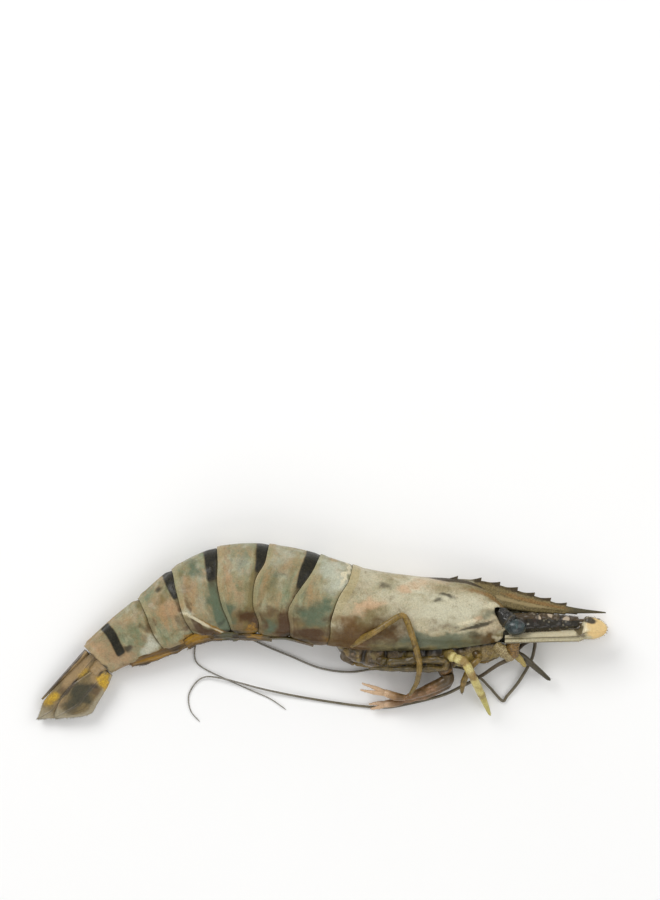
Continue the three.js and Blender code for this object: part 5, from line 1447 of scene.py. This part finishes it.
def antennaPatches(sideName):
    look = antennae[sideName]
    root, tip, taper = antennae["whipRadius"]
    last = len(look["whip"]) - 1
    radii = [root + (tip - root) * (i / last) ** taper for i in range(last + 1)]
    base = limb(shifted(look["base"]), antennae["baseRadii"], sides=32, joints=[])
    heel = limb(shifted(look["heel"]), antennae["heelRadii"], sides=32, joints=[])
    for patch, seed in ((base, 73), (heel, 74)):
        lumps = lumpy(patch["points"], [(0.4, 2.6, seed), (0.2, 1.2, seed + 9)])
        patch["points"] = patch["points"] + lumps[:, None] * [1, 1, 0.6]
    palp = limb(shifted(look["palp"]), antennae["palpRadii"], sides=20, flatness=0.7)
    whip = limb(shifted(look["whip"]), radii, sides=12, perJoint=14, tension=0.5, swell=0, pinch=0, bulge=0)
    for name, patch in (("base", base), ("heel", heel), ("palp", palp)):
        patch["values"][name] = np.ones(len(patch["points"]))
    whip["values"]["stem"] = smoothStep(whip["values"]["along"], *antennae["stemFades"])
    whip["values"]["pale"] = smoothStep(whip["values"]["along"], *antennae["palesAt"])
    return [base, heel, palp, whip]


for sideName, side in (("right", 1), ("left", -1)):
    ending = sideName.title()
    makePiece(f"eye{ending}", eyePatches(side), eyeFinish, [f"eye_{sideName}"])
    makePiece(f"antennule{ending}", antennulePatches(side), antennuleFinish, [f"antennule_{sideName}"])
    makePiece(f"scaleBlade{ending}", scalePatches(side), scaleFinish, [f"antennal_scale_{sideName}"])
    makePiece(f"antenna{ending}", antennaPatches(sideName), antennaFinish, [f"antenna_{sideName}"])
print("head is built")

swimmeretFinish = makeFinish("swimmeretFinish", {
    "ground": ((80, 58, 12), (100, 74, 16), (54, 38, 8)), "mottle": 2.6, "grainTone": (44, 32, 8),
    "grainAmount": 0.3, "gloss": (0.32, 0.5), "coat": 0.1, "specular": 0.26, "flesh": 0.05,
    "clouds": [
        cloud(1, (140, 104, 16), 0.5, 0.46, 0.7, flow=(4.5, 0.7)),
        cloud(1, (46, 34, 16), 0.7, 0.44, 0.68, flow=(3.4, 0.5)),
    ],
    "layers": [
        layer("tan", (140, 106, 58), 0.6, ragged=0.9),
        layer("gold", (146, 106, 16), 0.45, low=0.0, high=1.0, ragged=0.9),
        layer("green", (72, 80, 54), 0.75, low=0.0, high=1.0, ragged=0.9),
        layer("bright", (172, 126, 8), 0.9, low=0.0, high=1.0, ragged=1.0),
        # Dark patches, and painted shade along each leaf's deep inner edge
        layer("dark", (38, 28, 13), 0.9, low=0.0, high=1.0, ragged=0.9),
        layer("hair", (120, 94, 50), 0.9),
    ],
})
swimmeret = {
    "side": 0.5, "width": 5.4, "lastWidth": 4.2, "thickness": 1, "clearance": 1.2, "overlap": 1.1,
    "shareAlong": [0, 0.15, 0.5, 0.85, 1], "shareOut": [0.9, 0.98, 1, 0.98, 0.92], "roundFrom": 0.965,
    "hang": [0.2, 2.0, 2.5, 2.9, 2.4],  # how far each one's inner edge hangs below the belly
    "rootShare": 0.4, "rootRadii": (1.5, 1.45, 0.9), "lastLength": 22,
    "tones": {"bright": [(-43.2, -2.2, 4.4, 1.2, 15, 1), (-22.6, -1.0, 2.6, 1.2, 0, 0.9),
                         (-56, -8.6, 9, 0.8, 16, 0.8)],
              "green": [(-14.4, -3.2, 5.5, 2.6, 5, 1), (-31, -1.5, 4, 2.2, 0, 1)]},
}


def swimmeretRoot(index):
    length = seams[index + 1] - seams[index]
    return seams[index] + swimmeret["rootShare"] * length + body["seamSlant"] / 2


def swimmeretPatches(index, side):
    look = swimmeret
    isLast = index == 4
    root = swimmeretRoot(index)
    length = look["lastLength"] if isLast else swimmeretRoot(index + 1) - root + look["overlap"]
    t = closingShares(80, 1.4)
    station = root + length * t
    groove = 0 if isLast else body["bellyGroove"][0] / 2
    clear = look["thickness"] / 2 + (0 if isLast else 0.6) * smoothStep(t, 0.55, 1)
    # The skin over the leaf, from its flank to the middle of the belly
    angle = np.linspace(2.0, math.pi, 40)[None, :]
    skinRise, skinSide = skin(station[:, None], angle)
    overFlap = smoothStep(station, seams[5] + 2, seams[5])[:, None]
    skinRise = skinRise - 0.5 * tailSegments["flapDrop"] * np.cos(angle) ** 2 * overFlap
    room = np.minimum(look["lastWidth"] if isLast else look["width"], midHeight(station) - look["clearance"])
    outSide = look["side"] + room * smoothRead(look["shareAlong"], look["shareOut"], t) \
        * roundedOff(t, look["roundFrom"])
    # The outer edge follows the flank, the inner one hangs below it.
    outer = [np.interp(-out, -row, rise) for out, row, rise in zip(outSide, skinSide, skinRise)]
    outer = np.array(outer) - clear
    hang = look["hang"][index] * smoothRead([0, 0.3, 0.75, 1], [0.85, 1, 0.95, 0.3 if isLast else 0.75], t)
    inner = skinRise.min(axis=1) - clear - hang * (1 + 0.14 * waviness(place(station, 0, 0), 5, index + 63))
    left, right = place(station, inner, side * look["side"]), place(station, outer, side * outSide)
    ahead = place(station + 0.5, outer, 0) - place(station, outer, 0)

    def ribs(over, t):
        return 0.22 * bump(over, 0.0, 0.14) - 0.05 * np.cos(over * 14) * smoothStep(t, 0.2, 0.5)

    def goldTone(rings, over):
        return (0.6 + 0.6 * waviness(rings, 5, index + 51)) * bump(over, -0.4, 0.4)

    # Dark patches, and painted shade along the leaf's deep inner edge
    def darkPatchesAndShade(rings, over):
        patchy = 0.8 * smoothStep(waviness(rings, 5, index + 57), -0.1, 0.4)
        return np.maximum(patchy, smoothStep(over, -0.6, -0.95))

    blade = leaf(left, right, ahead, look["thickness"] * (1 - 0.4 * t), ribs, sides=64,
                 tan=lambda rings, over: (0.6 if isLast else 0.15) * smoothStep(over, -0.4, 0.2),
                 gold=goldTone, dark=darkPatchesAndShade, flowAlong=lambda rings, over: station[:, None],
                 flowRound=lambda rings, over: 3 * over)
    blade["values"].update(toneValues(blade["points"], look["tones"]))
    # The stout root article that joins the leaf to the belly
    base = place(root - 1.5, -bodySize(root, "down") * (1 - groove) + 1.5, side * 2.6)
    end = place(root + length * 0.22, inner[0] + 1.0, side * 2.0)
    patches = [blade, limb([base, (base + end) / 2, end], look["rootRadii"], perJoint=10, joints=[])]
    middle = (left + right) / 2
    for i, rim in enumerate((left, right)):
        patches.append(edgeHairs(middle, rim, ahead, 80, 0.7, 200 + index * 4 + i, lean=1.8, start=0.15))
    return patches


for index in range(5):
    for sideName, side in (("right", 1), ("left", -1)):
        makePiece(f"swimmeret{index + 1}{sideName.title()}", swimmeretPatches(index, side), swimmeretFinish,
                  [f"swimmeret_{index + 1}_{sideName}"])
print("swimmerets are built")

fanTones = {
    "yellow": [(-73.8, -16.4, 2.0, 3.2, 20, 1), (-80.9, -13.6, 2.4, 1.4, 40, 0.6),
               (-91.8, -22.6, 2.6, 1.6, 40, 0.85)],
    "grey": [(-82.3, -21.4, 5.2, 3.7, 48, 1), (-85.4, -24.2, 3.2, 2.4, 45, 0.6)],
    "pink": [(-83.5, -13, 6.4, 2.6, 47, 1), (-76, -9, 3, 2, 30, 0.7), (-76.5, -14.5, 2, 2.4, 30, 0.6),
             (-88.5, -24.5, 2.4, 1.6, 40, 0.6)],
    "dark": [(-86.0, -19.2, 4.6, 0.7, 50, 1), (-77.5, -18, 1.3, 2.0, 30, 0.7),
             (-75.2, -13.4, 2.2, 0.6, 60, 0.8)],
    "brown": [(-77.5, -20.5, 2.2, 4.6, 40, 0.8), (-88.5, -19.4, 2.4, 1.2, 50, 0.6)],
}
fanFinish = makeFinish("tailFanFinish", {
    "ground": ((112, 94, 56), (132, 112, 70), (88, 74, 42)), "mottle": 3.2, "grainTone": (56, 48, 32),
    "grainAmount": 0.3, "gloss": (0.3, 0.48), "coat": 0.3, "flesh": 0.1,
    "clouds": [
        cloud(2.6, (96, 88, 62), 0.5, 0.5, 0.7),
        cloud(1, (76, 56, 26), 0.6, 0.48, 0.7, flow=(5, 0.8)),
        cloud(1, (166, 148, 108), 0.5, 0.5, 0.72, flow=(4, 0.5)),
    ],
    "speckle": {"every": 0.8, "tone": (66, 58, 40), "amount": 0.3},
    "layers": [
        layer("pink", (168, 140, 98), 0.85, low=0.0, high=0.8, ragged=0.8),
        layer("brown", (104, 80, 50), 0.75, low=0.1, high=0.8),
        layer("grey", (58, 58, 38), 0.92, low=0.0, high=0.8, ragged=0.9, second=(44, 44, 28)),
        layer("margin", (166, 156, 130), 0.8, low=0.05, high=0.9, ragged=0.8),
        layer("rib", (66, 54, 36), 0.6),
        layer("yellow", (206, 168, 36), 0.92, low=0.05, high=0.8, ragged=0.7, second=(186, 144, 26)),
        layer("dark", (56, 42, 26), 0.85, low=0.1, high=0.8),
        layer("hair", (150, 142, 120), 0.9),
    ],
})
tailFan = {
    "thickness": 1.1, "veins": 34, "hairs": (150, 0.6, 1.6),  # count, length and lean on each edge
    "article": {"start": (86.5, -2.2), "radii": (2.2, 2.3, 1.6), "flatness": 0.75,
                "right": {"side": 2.6, "knuckle": (-75.2, -12.6, 6.6), "end": (-77.6, -15.2, 6.4)},
                "left": {"side": -2.2, "knuckle": (-75.2, -12.6, 2.2), "end": (-77.6, -15.2, 2.2)}},
    # Outline of each leaf: distance along it, then how far its left and right edges lie across
    "exopod": {"heading": 52, "along": [-0.4, 3, 6.5, 10.5, 13.7, 15.5, 17.5, 19.5, 21.5, 22.6, 23],
               "left": [-1.6, -3.6, -4.8, -6.0, -6.0, -5.9, -5.7, -5.2, -4.6, -4.1, -3.7],
               "right": [3.0, 4.0, 4.5, 4.9, 5.3, 4.5, 2.8, 0.7, -1.6, -2.8, -3.3]},
    "endopod": {"heading": 47.3, "along": [-4, 0, 5, 10, 15, 19, 21.2, 23.5, 25.3, 26.5],
                "left": [-1.9, -2.8, -3.15, -3.2, -3.15, -3.0, -2.6, -1.6, -0.8, -0.4],
                "right": [1.6, 2.0, 3.0, 3.9, 4.7, 5.2, 4.8, 2.6, 0.9, -0.1]},
    "leaves": {
        "exopod_right": {"base": (-73.4, -14.2, 7.1), "fall": 2.2},
        "endopod_right": {"base": (-78.2, -11.3, 5.7), "fall": 2.1},
        "endopod_left": {"base": (-78.2, -11.3, 3.1), "fall": 1.1, "size": 0.97},
        "exopod_left": {"base": (-73.4, -14.2, 1.8), "fall": 1.0, "size": 0.97},
    },
    "telson": {"base": (-79.5, -7.5, 4.45), "heading": 46.8, "length": 22.4, "fall": 0.7, "half": 3.4,
               "tipHalf": 0.3, "narrowing": 1.2, "thickness": 1.7,
               "tones": {"pink": [(-84, -10.8, 9, 1.2, 47, 1)], "brown": [(-90, -17, 6, 1.2, 47, 0.7)],
                         "dark": [(-91.0, -17.4, 9, 0.8, 47, 1), (-84.2, -10.0, 7, 0.7, 47, 1)]}},
}


def headed(heading, fall):
    way = math.radians(heading)
    return np.array([-math.cos(way), -math.sin(way), -fall])


def fanPatches(name, look):
    kind, sideName = name.split("_")
    form = dict(tailFan[kind], **look)
    size, veins = form.get("size", 1), tailFan["veins"]
    reach = form["along"][-1] - form["along"][0]
    way, across = headed(form["heading"], form["fall"] / reach), headed(form["heading"] + 90, 0)
    t = closingShares(110, 1.5)
    along = form["along"][0] + reach * t
    leftOut, rightOut = [smoothRead(form["along"], form[key], along) * size for key in ("left", "right")]
    line = shifted([form["base"]]) + way * (along * size)[:, None]
    left, right = line + across * leftOut[:, None], line + across * rightOut[:, None]
    ahead = np.tile(way, (len(t), 1))
    isBroad = kind == "exopod"

    def ribs(over, t):
        middle = 0.22 * bump(over, 0.05, 0.09) * (1 - 0.5 * t)
        edge = 0.2 * bump(over, 0.86, 0.08) * (1 - t)
        return middle + edge + 0.035 * np.sin(over * veins) * smoothStep(t, 0.1, 0.4)

    def ribTone(rings, over):
        return 0.6 * bump(over, 0.05, 0.06) + 0.35 * np.maximum(np.sin(over * veins), 0) ** 4

    def marginTone(rings, over):
        side = smoothStep(over, 0.5, 0.95) * (1 if isBroad else 0.3)
        return np.maximum(smoothStep(t, 0.74, 0.97)[:, None], side)

    blade = leaf(left, right, ahead, tailFan["thickness"] * (1 - 0.5 * t), ribs, sides=112, rib=ribTone,
                 flowAlong=lambda rings, over: along[:, None], flowRound=lambda rings, over: 4 * over,
                 margin=marginTone)
    blade["values"].update(toneValues(blade["points"], fanTones, 0.7))
    patches = [blade]
    middle = (left + right) / 2
    count, length, lean = tailFan["hairs"]
    for i, rim in enumerate((left, right)):
        patches.append(edgeHairs(middle, rim, ahead, count, length, 300 + len(name) + i * 9, lean=lean,
                                 start=0.3 if isBroad else 0.15))
    if isBroad:
        # The base article that carries both leaves of a side
        article = tailFan["article"]
        row = article[sideName]
        knuckle, end = shifted([row["knuckle"], row["end"]])
        base = limb([place(*article["start"], row["side"]), knuckle, end], article["radii"], sides=28,
                    flatness=article["flatness"], perJoint=14)
        base["values"]["pink"] = np.full(len(base["points"]), 0.8)
        patches.append(base)
    return patches


def telsonPatches():
    look = tailFan["telson"]
    way = headed(look["heading"], look["fall"] / look["length"])
    t = closingShares(96, 1.3)
    centre = shifted([look["base"]]) + way * (look["length"] * t)[:, None]
    reach = (look["half"] + (look["tipHalf"] - look["half"]) * t ** look["narrowing"])[:, None] * [0, 0, 1.0]
    ahead = np.tile(way, (len(t), 1))

    # A furrow down the middle between two ridges
    def ribs(over, t):
        return 0.28 * bump(np.abs(over), 0.34, 0.16) * (1 - t) - 0.12 * bump(over, 0, 0.12) * (1 - t)

    blade = leaf(centre - reach, centre + reach, ahead, look["thickness"] * (1 - 0.6 * t), ribs, sides=64,
                 rib=lambda rings, over: 0.8 * bump(over, 0.0, 0.15),
                 flowAlong=lambda rings, over: look["length"] * t[:, None],
                 flowRound=lambda rings, over: 3 * over)
    blade["values"].update(toneValues(blade["points"], look["tones"], 0.5))
    return [blade]


for name, look in tailFan["leaves"].items():
    kind, sideName = name.split("_")
    makePiece(f"{kind}{sideName.title()}", fanPatches(name, look), fanFinish, [f"uropod_{name}"])
makePiece("telsonBlade", telsonPatches(), fanFinish, ["telson"])
print("tail fan is built")

studio = {
    "floor": (0.95, 0.95, 0.945), "floorShade": 0.985, "floorSize": 6.0, "floorGap": 0.0001,
    "skyTone": (1.0, 0.995, 0.985, 1), "sky": 0.50,
    "lamps": [  # place, size, power, in metres and watts
        {"at": (-0.55, 0.75, 1.0), "size": 0.7, "power": 8.5},
        {"at": (0.85, 0.25, 1.0), "size": 0.9, "power": 3.7},
        {"at": (0.05, -0.9, 0.8), "size": 0.8, "power": 2.9},
    ],
    "lookAt": (0.0029, 0.0622), "frameHeight": 0.306, "distance": 2.4, "level": 0.012, "sensor": 24,
}


def makeFloor():
    half = studio["floorSize"] / 2
    mesh = bpy.data.meshes.new("floor")
    corners = [(-half, -half, 0), (half, -half, 0), (half, half, 0), (-half, half, 0)]
    mesh.from_pydata(corners, [], [(0, 1, 2, 3)])
    floor = bpy.data.objects.new("floor", mesh)
    bpy.context.scene.collection.objects.link(floor)
    make = Finish("floorFinish")
    shaded = [studio["floorShade"] * value for value in studio["floor"]]
    tint = make.mix((*studio["floor"], 1), (*shaded, 1), make.noise(60, 3))
    mesh.materials.append(make.surface({"Base Color": tint, "Roughness": 0.75, "Specular IOR Level": 0.2}))
    floor.location.z = -studio["floorGap"]


def makeLights():
    world = bpy.data.worlds.new("studio")
    bpy.context.scene.world = world
    world.use_nodes = True
    sky = world.node_tree.nodes["Background"].inputs
    sky["Color"].default_value = studio["skyTone"]
    sky["Strength"].default_value = studio["sky"]
    for i, row in enumerate(studio["lamps"]):
        light = bpy.data.lights.new(f"lamp{i + 1}", "AREA")
        light.size = row["size"]
        light.energy = row["power"]
        lamp = bpy.data.objects.new(f"lamp{i + 1}", light)
        bpy.context.scene.collection.objects.link(lamp)
        lamp.location = row["at"]
        lamp.rotation_euler = (-Vector(row["at"])).to_track_quat("-Z", "Y").to_euler()
        lamp.visible_camera = False


def makeCamera():
    camera = bpy.data.cameras.new("camera")
    camera.sensor_fit = "VERTICAL"
    camera.sensor_height = studio["sensor"]
    camera.lens = studio["sensor"] * studio["distance"] / studio["frameHeight"]
    camera.clip_end = 20
    holder = bpy.data.objects.new("camera", camera)
    bpy.context.scene.collection.objects.link(holder)
    holder.location = (*studio["lookAt"], studio["level"] + studio["distance"])
    bpy.context.scene.camera = holder


makeFloor()
makeLights()
makeCamera()
bpy.context.scene.view_settings.view_transform = "Standard"
print("floor, lights and camera are set")
